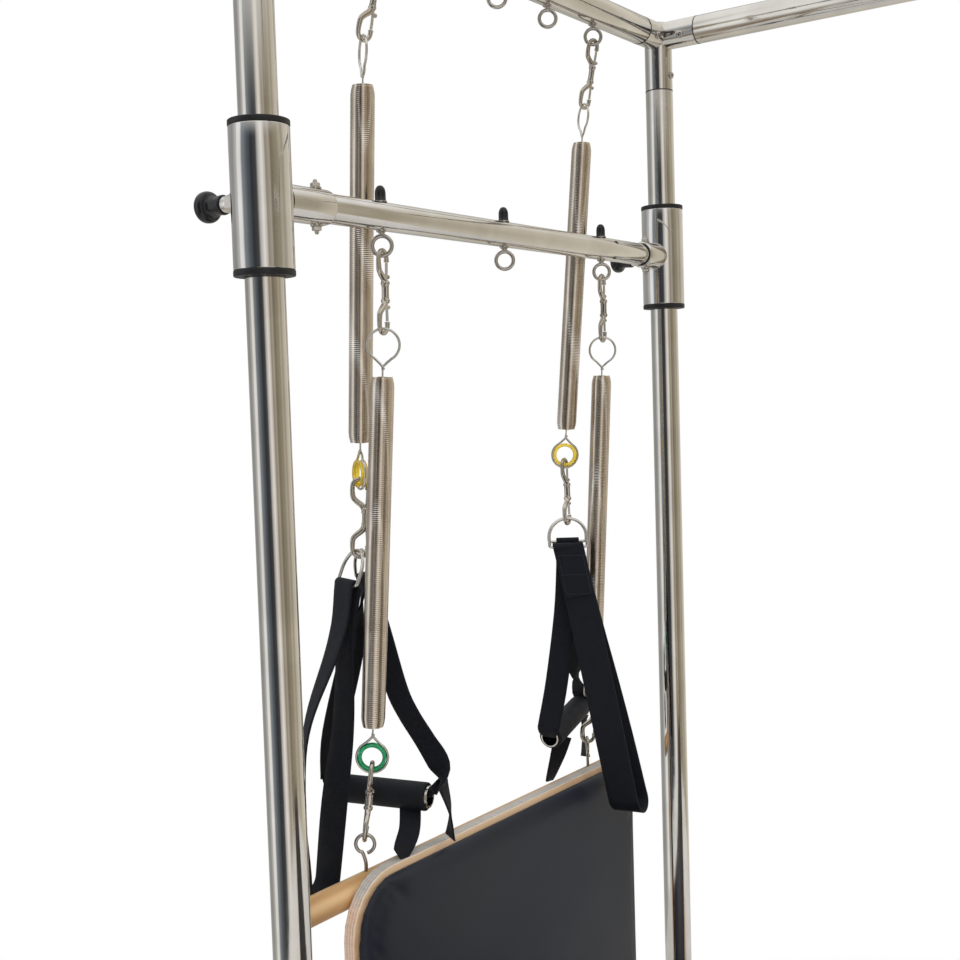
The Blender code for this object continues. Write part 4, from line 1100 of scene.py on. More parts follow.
    def band(self, name: str, line: Sequence[Vector], across: Sequence[Vector], widths: Sequence[float],
             thickness: float, finish: Finish, body: str, replaces: Sequence[str] = (),
             closed: bool = False) -> bpy.types.Object:
        """Flat webbing with rounded selvedges along a line.

        Args:
            name: the piece's name.
            line: middle of the band.
            across: direction of its width at each point.
            widths: its width at each point.
            thickness: its thickness.
            finish: its finish.
            body: the body that it rides on.
            replaces: CAD nodes that it stands for.
            closed: whether it closes on itself.
        Returns:
            The piece.
        """
        half_t = thickness / 2
        flat = [2 * k / self.FLAT_STEPS for k in range(self.FLAT_STEPS + 1)]
        section = [(-1 + u, 1.0, False) for u in flat] + [(1, self.SELVEDGE, True), (1, -self.SELVEDGE, True)]
        section += [(1 - u, -1.0, False) for u in flat] + [(-1, -self.SELVEDGE, True), (-1, self.SELVEDGE, True)]
        rows = []
        for point, way, tangent, width in zip(line, across, tangents(line, closed), widths):
            side = (way - tangent * way.dot(tangent)).normalized()
            normal = tangent.cross(side)
            flat_half = width / 2 - half_t * 0.6
            rows.append([point + side * (math.copysign(width / 2, u) if edge else u * flat_half)
                         + normal * (v * half_t) for u, v, edge in section])
        return self.skin(name, rows, finish, body, replaces, closed=closed, sharp=70.0)

    def refined(self, node: str, finish: Finish, body: str, bevel: float) -> bpy.types.Object:
        """Copy a CAD node's shape, weld it, and round its edges.

        Args:
            node: the CAD node.
            finish: its finish.
            body: the body that it rides on.
            bevel: width of the rounding.
        Returns:
            The piece.
        """
        mesh = bpy.data.objects[node].data.copy()
        shape = bmesh.new()
        shape.from_mesh(mesh)
        bmesh.ops.remove_doubles(shape, verts=shape.verts, dist=self.WELD)
        bmesh.ops.dissolve_limit(shape, angle_limit=math.radians(self.FLAT_ANGLE), verts=shape.verts,
                                 edges=shape.edges)
        shape.to_mesh(mesh)
        shape.free()
        piece = linked(f"{node}_dressed", mesh)
        crisp(mesh, self.SOLID_SHARP)
        rounding = piece.modifiers.new("rounding", "BEVEL")
        rounding.width = bevel
        rounding.segments = 3
        rounding.limit_method = "ANGLE"
        rounding.angle_limit = math.radians(self.BEVEL_ANGLE)
        self.apply(piece)
        return self.finished(piece, finish, body, [node])

    @staticmethod
    def apply(piece: bpy.types.Object) -> None:
        """Bake a piece's modifiers into its mesh.

        Args:
            piece: the piece.
        """
        bpy.context.view_layer.update()
        graph = bpy.context.evaluated_depsgraph_get()
        mesh = bpy.data.meshes.new_from_object(piece.evaluated_get(graph))
        piece.modifiers.clear()
        piece.data = mesh

    def solid(self, name: str, parts: Sequence[bpy.types.Object], cutters: Sequence[bpy.types.Object],
              finish: Finish, body: str, replaces: Sequence[str] = ()) -> bpy.types.Object:
        """Join parts into one solid, cut tools out of it, and drop the tools.

        Args:
            name: name of the result.
            parts: solids to join; the first one is kept.
            cutters: solids to cut away.
            finish: its finish.
            body: the body that it rides on.
            replaces: CAD nodes that it stands for.
        Returns:
            The piece.
        """
        base = parts[0]
        base.name = name
        for tools, operation in ((parts[1:], "UNION"), (cutters, "DIFFERENCE")):
            for tool in tools:
                step = base.modifiers.new(operation.lower(), "BOOLEAN")
                step.operation = operation
                step.solver = "EXACT"
                step.object = tool
        self.apply(base)
        for tool in [*parts[1:], *cutters]:
            bpy.data.objects.remove(tool)
        crisp(base.data, self.SOLID_SHARP)
        return self.finished(base, finish, body, replaces)


def tube_profile(outer: float, inner: float, length: float, ease: float = 0.0006) -> list[tuple]:
    """Wall of a tube with eased rims.

    Args:
        outer: outside radius.
        inner: bore radius.
        length: its length from local Z 0.
        ease: size of the eased rims.
    Returns:
        The closed profile.
    """
    return [(outer, ease), (outer, length * 0.25), (outer, length * 0.5), (outer, length * 0.75),
            (outer, length - ease), (outer - ease * 0.3, length - ease * 0.3), (outer - ease, length),
            (inner, length), (inner, length * 0.5), (inner, 0), (outer - ease, 0),
            (outer - ease * 0.3, ease * 0.3)]


@dataclass
class Fasteners:
    """Screws, nuts, eyes and caps."""

    SCREW_R = 0.0052
    SINK = 0.0006

    shop: Workshop

    def button_screw(self, name: str, place: Vector, out: Vector, body: str) -> None:
        """Round-headed screw with a hexagon socket.

        Args:
            name: name of the screw.
            place: point on the surface.
            out: direction away from it.
            body: the body that it rides on.
        """
        radius = self.SCREW_R
        frame = frame_at(place - out * self.SINK, out, (0.3, 0.2, 1))
        dome = [(radius, 0.0), (radius, 0.0012)]
        for i in range(1, 6):
            angle = math.pi / 2 * i / 6
            dome.append((radius * math.cos(angle), 0.0012 + radius * 0.55 * math.sin(angle)))
        top = 0.0012 + radius * 0.53
        dome += [(radius * 0.46, top), (radius * 0.44, 0.0012), (radius * 0.05, 0.0010)]
        self.shop.lathe(f"{name}_head", dome, Finish.FASTENER, frame, body, steps=36)
        # The socket is a dark hexagon of painted shade, sunk in the head's hollow.
        socket = [(radius * 0.50, top - 0.0012), (radius * 0.50, top - 0.0001), (radius * 0.34, top - 0.0003),
                  (radius * 0.30, top - 0.0011)]
        self.shop.lathe(f"{name}_socket", socket, Finish.SHADOW_GAP, frame, body, steps=6, sharp=20.0)

    def nut_and_bolt(self, name: str, place: Vector, out: Vector, body: str, across: float = 0.0085,
                     tail: float = 0.0035) -> None:
        """Hexagon nut on a washer with the bolt's rounded end standing out of it.

        Args:
            name: name of the set.
            place: point on the surface.
            out: direction away from it.
            body: the body that it rides on.
            across: width across the nut's flats.
            tail: how far the bolt stands out.
        """
        frame = frame_at(place - out * 0.0008, out, (0.3, 1, 0.2))
        washer = softened([(0.0062, 0.0), (0.0062, 0.0022), (0.0024, 0.0022)], 0.0004, 3)
        self.shop.lathe(f"{name}_washer", washer, Finish.FASTENER, frame, body, steps=32)
        corner = across / 2 / HEXAGON_SPREAD
        nut = [(corner * 0.90, 0.0022), (corner, 0.0029), (corner, 0.0057), (corner * 0.88, 0.0064),
               (corner * 0.5, 0.0064)]
        self.shop.lathe(f"{name}_nut", nut, Finish.FASTENER, frame, body, steps=6, sharp=20.0)
        end = [(0.0021, 0.006), (0.0023, 0.0066), (0.0021, 0.0072), (0.0023, 0.0078), (0.0021, 0.0084),
               (0.0021, 0.0064 + tail * 0.7), (0.0013, 0.0064 + tail)]
        self.shop.lathe(f"{name}_bolt", end, Finish.FASTENER, frame, body, steps=20, sharp=25.0)

    def dome_cap(self, name: str, seat: Vector, body: str) -> bpy.types.Object:
        """Black dome cap with a flared foot, on a thin washer.

        Args:
            name: name of the cap.
            seat: middle of its foot.
            body: the body that it rides on.
        Returns:
            The cap.
        """
        r, h = EYE.cap_r, EYE.cap_height
        profile = [(r, 0.0), (r, 0.0013), (r * 0.93, 0.0019), (r * 0.92, h * 0.50)]
        for i in range(1, 9):
            angle = math.pi / 2 * i / 9
            profile.append((r * 0.92 * math.cos(angle) ** 0.85, h * 0.5 + h * 0.5 * math.sin(angle)))
        washer = softened([(r * 1.12, -0.0006), (r * 1.12, 0.0008), (r * 0.6, 0.0008)], 0.0003, 3)
        place = Matrix.Translation(seat)
        self.shop.lathe(f"{name}_washer", washer, Finish.FASTENER, place, body, steps=32)
        return self.shop.lathe(name, profile, Finish.PLASTIC, place, body, steps=32, sharp=50.0)

    def eye(self, name: str, bar_place: Vector, bar_r: float, body: str) -> None:
        """Eye under a bar: welded ring, short shank and a thin collar nut.

        Args:
            name: name of the eye.
            bar_place: point on the bar's axis above it.
            bar_r: radius of the bar.
            body: the body that it rides on.
        """
        centre = bar_place + DOWN * EYE.drop(bar_r)
        ring = frame_at(centre, ALONG_VIEW, UP)
        path = [ring @ Vector((EYE.mean_r * math.cos(a), EYE.mean_r * math.sin(a), 0)) for a in around(40)]
        self.shop.sweep(f"{name}_ring", path, EYE.wire / 2, Finish.WIRE, body, sides=12, closed=True)
        frame = frame_at(bar_place + DOWN * (bar_r - self.SINK), DOWN)
        collar = softened([(0.0056, -0.001), (0.0056, 0.0016), (0.0034, 0.0024), (0.0031, 0.0050)], 0.0005, 3)
        self.shop.lathe(f"{name}_collar", collar, Finish.WIRE, frame, body, steps=28)


@dataclass
class Canopy:
    """Posts, corner fittings, top bars and long rails."""

    shop: Workshop
    fasteners: Fasteners
    head_y: float

    @property
    def foot_y(self) -> float:
        """Y of the foot posts."""
        return self.head_y - 2 * CANOPY.half_length

    def build(self) -> None:
        """Make every tube, fitting and screw of the canopy."""
        for end, y in (("head", self.head_y), ("foot", self.foot_y)):
            for hand, side in SIDES:
                self.post(end, hand, Vector((side * CANOPY.half_x, y, CANOPY.top_z)))
                self.fitting(end, hand, side, 1 if end == "head" else -1, y)
            self.top_bar(end, y)
        for hand, side in SIDES:
            start = Vector((side * CANOPY.half_x, self.foot_y + CANOPY.arm_y + CANOPY.gap, CANOPY.top_z))
            end_y = self.head_y - CANOPY.arm_y - CANOPY.gap
            self.tube(f"long_rail_{hand}_tube", start, Vector((start.x, end_y, start.z)), f"long_rail_{hand}")

    def tube(self, name: str, start: Vector, end: Vector, node: str) -> bpy.types.Object:
        """Canopy tube between two points."""
        along = end - start
        hint = RIGHT_WAY if abs(along.z) > 0.5 * along.length else UP
        profile = tube_profile(CANOPY.tube_r, CANOPY.bore_r, along.length)
        return self.shop.lathe(name, profile, Finish.TUBE, frame_at(start, along, hint), Body.FRAME,
                               [node], steps=72, hollow=True)

    def post(self, end: str, hand: str, corner: Vector) -> None:
        """Post, with its index holes at the head end."""
        low = Vector((corner.x, corner.y, CANOPY.post_foot_z))
        high = corner + DOWN * (CANOPY.arm_z + CANOPY.gap)
        post = self.tube(f"{end}_post_{hand}_tube", low, high, f"{end}_post_{hand}")
        if end == "head":
            drills = []
            for i in range(*CROSS.index_holes):
                z = CROSS.z + i * CROSS.index_pitch
                start = Vector((corner.x, corner.y + CANOPY.bore_r / 2, z))
                profile = [(0.0043, 0.0), (0.0043, 0.0093), (0.0056, 0.0116)]
                drills.append(self.shop.lathe(f"index_drill_{hand}_{i}", profile, Finish.TUBE,
                                              frame_at(start, HEAD_WAY, UP), Body.FRAME, steps=24))
            self.shop.solid(f"{end}_post_{hand}_tube", [post], drills, Finish.TUBE, Body.FRAME,
                            [f"{end}_post_{hand}"])

    def fitting(self, end: str, hand: str, side: int, end_sign: int, y: float) -> None:
        """Three-way corner: mitred arms, dark seam lines of painted shade, and screws."""
        centre = Vector((side * CANOPY.half_x, y, CANOPY.top_z))
        arms = {"down": (DOWN, CANOPY.arm_z, RIGHT_WAY),
                "inward": (Vector((-side, 0, 0)), CANOPY.arm_x, UP),
                "along": (Vector((0, -end_sign, 0)), CANOPY.arm_y, UP)}
        parts = []
        name = f"corner_fitting_{end}_{hand}"
        for key, (way, reach, hint) in arms.items():
            r = CANOPY.tube_r if key == "down" else CANOPY.tube_r - 0.00005
            back = -r if key == "down" else 0.0
            profile = [(r - 0.006, back), (r - 0.0018, back + 0.0018), (r, back + 0.006)] if back else [(r, back)]
            profile += [(r, reach * 0.5), (r, reach - 0.0006), (r - 0.0006, reach)]
            parts.append(self.shop.lathe(f"{name}_{key}", profile, Finish.TUBE, frame_at(centre, way, hint),
                                         Body.FRAME, steps=72))
            # Thin dark ring of painted shade where each arm meets its tube.
            seam = softened([(r - 0.0008, -0.0007), (r + 0.00015, -0.0007), (r + 0.00015, 0.0009),
                             (r - 0.0008, 0.0009)], 0.0002, 2, closed=True)
            seam_frame = frame_at(centre + way * reach, way, hint)
            self.shop.lathe(f"{name}_{key}_seam", seam, Finish.SHADOW_GAP, seam_frame, Body.FRAME,
                            steps=72, hollow=True)
        self.shop.solid(f"{name}_body", parts, [], Finish.TUBE, Body.FRAME, [name])
        spots = (("post", DOWN, CANOPY.arm_z, Vector((0, -end_sign, 0))),
                 ("bar", Vector((-side, 0, 0)), CANOPY.arm_x, Vector((0, -end_sign * 0.94, -0.34))),
                 ("rail", Vector((0, -end_sign, 0)), CANOPY.arm_y, Vector((-side * 0.94, 0, -0.34))))
        for key, way, reach, out in spots:
            out = out.normalized()
            place = centre + way * (reach - CANOPY.screw_from_mouth) + out * CANOPY.tube_r
            self.fasteners.button_screw(f"{name}_{key}_screw", place, out, Body.FRAME)

    def top_bar(self, end: str, y: float) -> None:
        """Top bar; the head one carries five eyes and their caps."""
        reach = CANOPY.half_x - CANOPY.arm_x - CANOPY.gap
        left, right = Vector((-reach, y, CANOPY.top_z)), Vector((reach, y, CANOPY.top_z))
        self.tube(f"{end}_top_bar_tube", left, right, f"{end}_top_bar")
        if end == "head":
            for i in range(EYE.top_count):
                place = Vector(((i - EYE.top_count // 2) * EYE.top_pitch, y, CANOPY.top_z))
                self.fasteners.eye(f"top_eye_{i + 1}", place, CANOPY.tube_r, Body.FRAME)
                seat = place + UP * (CANOPY.tube_r - CANOPY.gap)
                self.fasteners.dome_cap(f"top_cap_{i + 1}", seat, Body.FRAME)


@dataclass
class CrossBar:
    """Cross bar, collars, plungers and eyebolts."""

    shop: Workshop
    fasteners: Fasteners
    head_y: float

    def build(self) -> None:
        """Make the sliding cross bar and all that it carries."""
        body = Body.CARRIAGE
        reach = CANOPY.half_x - CROSS.collar_r - CROSS.bar_end_gap
        start, end = Vector((-reach, self.head_y, CROSS.z)), Vector((reach, self.head_y, CROSS.z))
        profile = tube_profile(CROSS.bar_r, CROSS.bar_r - CROSS.bar_wall, 2 * reach)
        self.shop.lathe("cross_bar_tube", profile, Finish.TUBE, frame_at(start, end - start, UP),
                        body, ["cross_bar"], steps=72, hollow=True)
        for i, side in enumerate(("left", "middle", "right")):
            place = Vector(((i - 1) * CROSS.eye_pitch, self.head_y, CROSS.z))
            self.fasteners.eye(f"eyebolt_{side}", place, CROSS.bar_r, body)
            cap = self.fasteners.dome_cap(f"eyebolt_{side}_cap", place + UP * CROSS.bar_r, body)
            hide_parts(f"eyebolt_{side}")
        for hand, side, stub in (("left", -1, CROSS.stub_left), ("right", 1, CROSS.stub_right)):
            self.collar(hand, side, stub, body)
            self.plunger(hand, side, body)

    def collar(self, hand: str, side: int, stub: float, body: str) -> None:
        """Steel sleeve with its stub, weld, bolt and black liner."""
        axis = Vector((side * CANOPY.half_x, self.head_y, CROSS.z))
        half = CROSS.collar_half - CROSS.flange
        sleeve = tube_profile(CROSS.collar_r, CROSS.collar_bore_r, 2 * half, 0.0008)
        self.shop.lathe(f"collar_{hand}_sleeve", sleeve, Finish.COLLAR,
                        Matrix.Translation(axis + DOWN * half), body, [f"collar_{hand}"], steps=96, hollow=True)
        inward = Vector((-side, 0, 0))
        start = CROSS.collar_bore_r - 0.0005
        bore, length = CROSS.bar_r + CANOPY.gap, stub - start
        stub_wall = [(CROSS.stub_r, 0.0), (CROSS.stub_r, length * 0.5), (CROSS.stub_r, length - 0.0032),
                     (CROSS.stub_r - 0.0003, length - 0.0016), (CROSS.stub_r - 0.0010, length - 0.0006),
                     (bore + 0.0007, length), (bore, length), (bore, 0.0)]
        self.shop.lathe(f"collar_{hand}_stub", stub_wall, Finish.TUBE,
                        frame_at(axis + inward * start, inward, UP), body, steps=72, hollow=True)
        # Dark ring of painted shade in the gap where the bar enters the stub.
        mouth = softened([(CROSS.bar_r - 0.0002, -0.0006), (CROSS.bar_r + 0.0006, -0.0006),
                          (CROSS.bar_r + 0.0006, 0.0004), (CROSS.bar_r - 0.0002, 0.0004)], 0.0002, 2, closed=True)
        self.shop.lathe(f"collar_{hand}_mouth", mouth, Finish.SHADOW_GAP,
                        frame_at(axis + inward * stub, inward, UP), body, steps=72, hollow=True)
        weld = []
        for angle in around(72):
            y, z = CROSS.stub_r * math.cos(angle), CROSS.stub_r * math.sin(angle)
            x = math.sqrt(CROSS.collar_r ** 2 - y * y)
            weld.append(axis + inward * x + Vector((0, y, z)))
        beads = [0.0010 + 0.00012 * math.sin(i * 2.1) for i in range(len(weld))]
        self.shop.sweep(f"collar_{hand}_weld", weld, beads, Finish.COLLAR, body, sides=10, closed=True)
        for key, way in (("above", UP), ("below", DOWN)):
            place = axis + inward * (stub - CROSS.bolt_from_mouth) + way * CROSS.stub_r
            self.fasteners.nut_and_bolt(f"collar_{hand}_{key}", place, way, body)
        self.liner(hand, axis, body)

    def liner(self, hand: str, axis: Vector, body: str) -> None:
        """Black liner with a rounded rim at each end of the sleeve."""
        inner, rim = CANOPY.tube_r + CROSS.liner_gap, CROSS.collar_r + CANOPY.gap
        outer = CROSS.collar_bore_r - CANOPY.gap
        tip = CROSS.collar_half
        half = tip - CROSS.flange
        corners = [(inner, tip), (rim, tip), (rim, half), (outer, half), (outer, -half), (rim, -half),
                   (rim, -tip), (inner, -tip)]
        profile = softened(corners, 0.0013, 4, closed=True)
        self.shop.lathe(f"collar_liner_{hand}_ring", profile, Finish.RUBBER, Matrix.Translation(axis), body,
                        [f"collar_liner_{hand}"], steps=96, hollow=True)

    def plunger(self, hand: str, side: int, body: str) -> None:
        """Hexagon neck, and the mushroom knob on its pin."""
        axis = Vector((side * CANOPY.half_x, self.head_y, CROSS.z))
        neck_start, neck_length = CROSS.collar_r + CANOPY.gap, CROSS.neck_length
        corner = CROSS.neck_half / HEXAGON_SPREAD
        neck = [(corner * 0.9, 0.0), (corner, 0.001), (corner, 0.0115), (corner * 0.88, 0.0125)]
        frame = frame_at(axis + HEAD_WAY * neck_start, HEAD_WAY, UP)
        self.shop.lathe(f"plunger_neck_{hand}_hexagon", neck, Finish.FASTENER, frame, body,
                        [f"plunger_neck_{hand}"], steps=6, sharp=20.0)
        barrel = softened([(0.0082, 0.0118), (0.0082, neck_length), (0.0045, neck_length)], 0.0008, 4)
        self.shop.lathe(f"plunger_neck_{hand}_barrel", barrel, Finish.RING, frame, body, steps=48)
        start = neck_start + neck_length + CANOPY.gap
        tip = start + CROSS.knob_length
        head = CROSS.knob_r
        corners = [(0.0035, 0.021), (0.0040, start), (0.0098, start), (0.0094, start + 0.006),
                   (0.0090, tip - 0.018), (0.0100, tip - 0.0145), (head * 0.92, tip - 0.0125),
                   (head, tip - 0.009), (head * 0.97, tip - 0.004), (head * 0.78, tip - 0.0008),
                   (head * 0.3, tip)]
        self.shop.lathe(f"plunger_{hand}_mushroom", softened(corners, 0.0016, 4), Finish.PLASTIC,
                        frame_at(axis, HEAD_WAY, UP), f"plunger_{hand}_knob", [f"plunger_{hand}"], steps=64,
                        sharp=50.0)


class ChainWalk:
    """Walks down a row of linked pieces, each starting inside the last one's lowest ring."""

    def __init__(self, place: Vector, wire: float) -> None:
        self.place = place.copy()
        self.wire = wire
        self.direction = DOWN.copy()

    def next_frame(self, wire: float, lean: float, hint: Vector, splay: float) -> Matrix:
        """Frame at the next piece's top wire.

        Args:
            wire: diameter of the next piece's wire.
            lean: outward lean in degrees.
            hint: direction of the frame's X.
            splay: sideways lean in degrees.
        Returns:
            The frame, its Z down the chain.
        """
        way = Vector((math.tan(math.radians(splay)), math.tan(math.radians(lean)), -1)).normalized()
        start = self.place - way * ((self.wire + wire) / 2 + LINK_GAP)
        self.direction = way
        self.wire = wire
        return frame_at(start, way, hint)

    def step(self, frame: Matrix, reach: float) -> None:
        """Move on to the foot of the piece in a frame.

        Args:
            frame: the piece's frame.
            reach: its length.
        """
        self.place = frame.translation + self.direction * reach


@dataclass
class Hardware:
    """Snaps, springs and thimbles of the chains."""

    shop: Workshop

    def snap(self, node: str, frame: Matrix, body: str) -> None:
        """Double-ended bolt snap: cast hooks, spring bolts with thumb studs, and a waisted barrel.

        Args:
            node: the CAD node that it stands for.
            frame: its frame, Z down the chain.
            body: the body that it rides on.
        """
        r, step = SNAP.hook_r, SNAP.barrel_step
        hook = [(step, 0.0375), (step - 0.0002, 0.0335), (step - 0.0030, 0.0290), (-0.0030, 0.0250),
                (-0.0072, 0.0205), (-r, 0.0145), (-r, r)]
        for i in range(1, 9):
            angle = math.pi + math.pi * i / 8
            hook.append((r * math.cos(angle), r + r * math.sin(angle)))
        hook.append((r * 0.98, 0.0118))
        bolt = ((r * 0.97, 0.0124), (0.0079, 0.0190), (0.0074, 0.0262), (0.0068, 0.0335))
        for end, way, rim, replaced in (("upper", 1, 0.0, [node]), ("lower", -1, SNAP.reach, ())):
            path, gate, (stud_place,) = ([frame @ Vector((x, 0, rim + way * z)) for x, z in line]
                                         for line in (hook, bolt, ((0.0078, 0.0265),)))
            path = flowing(path, 4)
            shares = [i / (len(path) - 1) for i in range(len(path))]
            radii = [0.0038 - 0.0013 * min(1.0, share * 2.4) + 0.0004 * max(0.0, share - 0.92) / 0.08
                     for share in shares]
            self.shop.sweep(f"{node}_{end}_hook", path, radii, Finish.SNAP, body, replaced, sides=14)
            self.shop.sweep(f"{node}_{end}_bolt", flowing(gate, 4), 0.0016, Finish.RING, body, sides=12)
            stud_out = (frame.to_3x3() @ Vector((1.0, 0.0, 0.25 * way))).normalized()
            stud = [(0.0014, -0.001), (0.0013, 0.0012), (0.0021, 0.0020), (0.0024, 0.0032), (0.0019, 0.0042),
                    (0.0008, 0.0046)]
            self.shop.lathe(f"{node}_{end}_stud", stud, Finish.SNAP, frame_at(stud_place, stud_out, (0.2, 0.3, 1)),
                            body, steps=20, sharp=60.0)
        b = SNAP.barrel_r
        mid = SNAP.reach / 2
        half = [(0.0012, 0.0300), (0.0029, 0.0312), (0.0037, 0.0330), (0.0037, 0.0348), (0.0031, 0.0358),
                (b, 0.0372), (b * 0.96, mid)]
        profile = half + [(x, SNAP.reach - z) for x, z in reversed(half[:-1])]
        barrel = frame @ Matrix.Translation((step, 0, 0)) @ Matrix.Diagonal((1, 1.4, 1, 1))
        self.shop.lathe(f"{node}_barrel", profile, Finish.SNAP, barrel, body, steps=32, sharp=50.0)

    def spring(self, node: str, frame: Matrix, top_turn: float, bottom_turn: float, top_body: str,
               low_body: str) -> None:
        """Close-wound spring with domed ends and a wire loop at each.

        Args:
            node: the CAD node that it stands for.
            frame: its frame, Z down the chain.
            top_turn: turn of the upper loop about the chain, in radians.
            bottom_turn: turn of the lower loop.
            top_body: the body at its top.
            low_body: the body at its foot.
        """
        start = SPRING.loop_mean_d + SPRING.neck
        wire_r = SPRING.coil_pitch * 0.5
        turns = round(SPRING.body / SPRING.coil_pitch)
        steps = turns * SPRING.per_turn
        rows = []
        for i in range(steps + 1):
            down = SPRING.body * i / steps
            from_end = max(0.0, min(down, SPRING.body - down))
            rise = min(1.0, from_end / SPRING.dome)
            radius = SPRING.end_r + (SPRING.outer_r - wire_r - SPRING.end_r) * math.sin(rise * math.pi / 2) ** 0.9
            angle = math.tau * i / (SPRING.per_turn + SPRING.stagger)
            out = Vector((math.cos(angle), math.sin(angle), 0))
            rows.append([frame @ (out * (radius + wire_r * outward)
                                  + Vector((0, 0, start + down + wire_r * along)))
                         for outward, along in SPRING.turn_section])
        coil = self.shop.skin(f"{node}_coil", rows, Finish.SPRING, top_body, [node], sharp=60.0)
        if top_body != low_body:
            coil.parent = None
            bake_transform(coil)
        core = [(0.0009, start + 0.0004)]
        for k in range(4):
            middle = 0.0022 + 0.0021 * k
            for i in range(1, 6):
                angle = math.pi * i / 6
                core.append((middle - 0.00105 * math.cos(angle),
                             start - 0.0008 + 0.0002 * k * k + wire_r * (1 - math.sin(angle))))
        core.append((SPRING.end_r, start + 0.003))
        self.shop.lathe(f"{node}_upper_plug", core, Finish.SPRING, frame, top_body, steps=40)
        low = [(x, 2 * start + SPRING.body - z) for x, z in core]
        self.shop.lathe(f"{node}_lower_plug", low, Finish.SPRING, frame, low_body, steps=40)
        self.end_wire(f"{node}_upper_loop", frame, top_turn, False, top_body)
        self.end_wire(f"{node}_lower_loop", frame, bottom_turn, True, low_body)

    def end_wire(self, name: str, frame: Matrix, turn: float, lower: bool, body: str) -> None:
        """Wire loop at one end of a spring, its two ends meeting in a V above a thinner neck.

        Args:
            name: name of the piece.
            frame: the spring's frame.
            turn: turn about the chain in radians.
            lower: whether it is the lower loop.
            body: the body that it rides on.
        """
        r = SPRING.loop_mean_d / 2
        foot = SPRING.loop_mean_d + SPRING.neck
        thin, thick = 0.0010, 0.00145
        points = [(0.0, 0.0, foot + 0.004, thin), (0.0, 0.0, foot - 0.004, thin), (0.0, 0.0, 2 * r + 0.0105, thin),
                  (-0.0004, -0.0008, 2 * r + 0.0068, 0.0012), (0.0030, -0.0010, 2 * r + 0.0028, thick)]
        for i in range(2, 23):
            angle = math.tau * i / 24
            points.append((r * math.sin(angle), 0.0, r + r * math.cos(angle), thick))
        points += [(-0.0030, 0.0008, 2 * r + 0.0028, thick), (0.0006, 0.0014, 2 * r + 0.0070, 0.0013),
                   (0.0018, 0.0014, 2 * r + 0.0090, 0.0009)]
        reach = SPRING.reach
        cos_t, sin_t = math.cos(turn), math.sin(turn)
        placed = []
        for x, y, z, _ in points:
            z = reach - z if lower else z
            placed.append(frame @ Vector((x * cos_t - y * sin_t, x * sin_t + y * cos_t, z)))
        radii = [v.x for v in flowing([(size, 0.0, 0.0) for _, _, _, size in points], 3)]
        self.shop.sweep(name, flowing(placed, 3), radii, Finish.RING, body, sides=12)

    def thimble(self, node: str, frame: Matrix, turn: float, finish: Finish, body: str) -> None:
        """Grooved ring seated inside the spring's lower loop.

        Args:
            node: the CAD node that it stands for.
            frame: the spring's frame.
            turn: turn of the lower loop about the chain, in radians.
            finish: amber or green.
            body: the body that it rides on.
        """
        centre = SPRING.reach - SPRING.loop_mean_d / 2
        place = (frame @ Matrix.Translation((0, 0, centre)) @ Matrix.Rotation(turn, 4, "Z")
                 @ Matrix.Rotation(math.pi / 2, 4, "X"))
        outer, inner, half = SPRING.thimble_r, SPRING.thimble_bore_r, SPRING.thimble_half
        corners = [(inner + 0.0008, half), (outer + 0.0008, half), (outer + 0.0008, half - 0.0012),
                   (outer - 0.0006, 0.0), (outer + 0.0008, 0.0012 - half), (outer + 0.0008, -half),
                   (inner + 0.0008, -half), (inner, 0.0)]
        self.shop.lathe(f"{node}_ring", softened(corners, 0.0009, 4, closed=True), finish, place, body, [node],
                        steps=64, hollow=True, sharp=60.0)


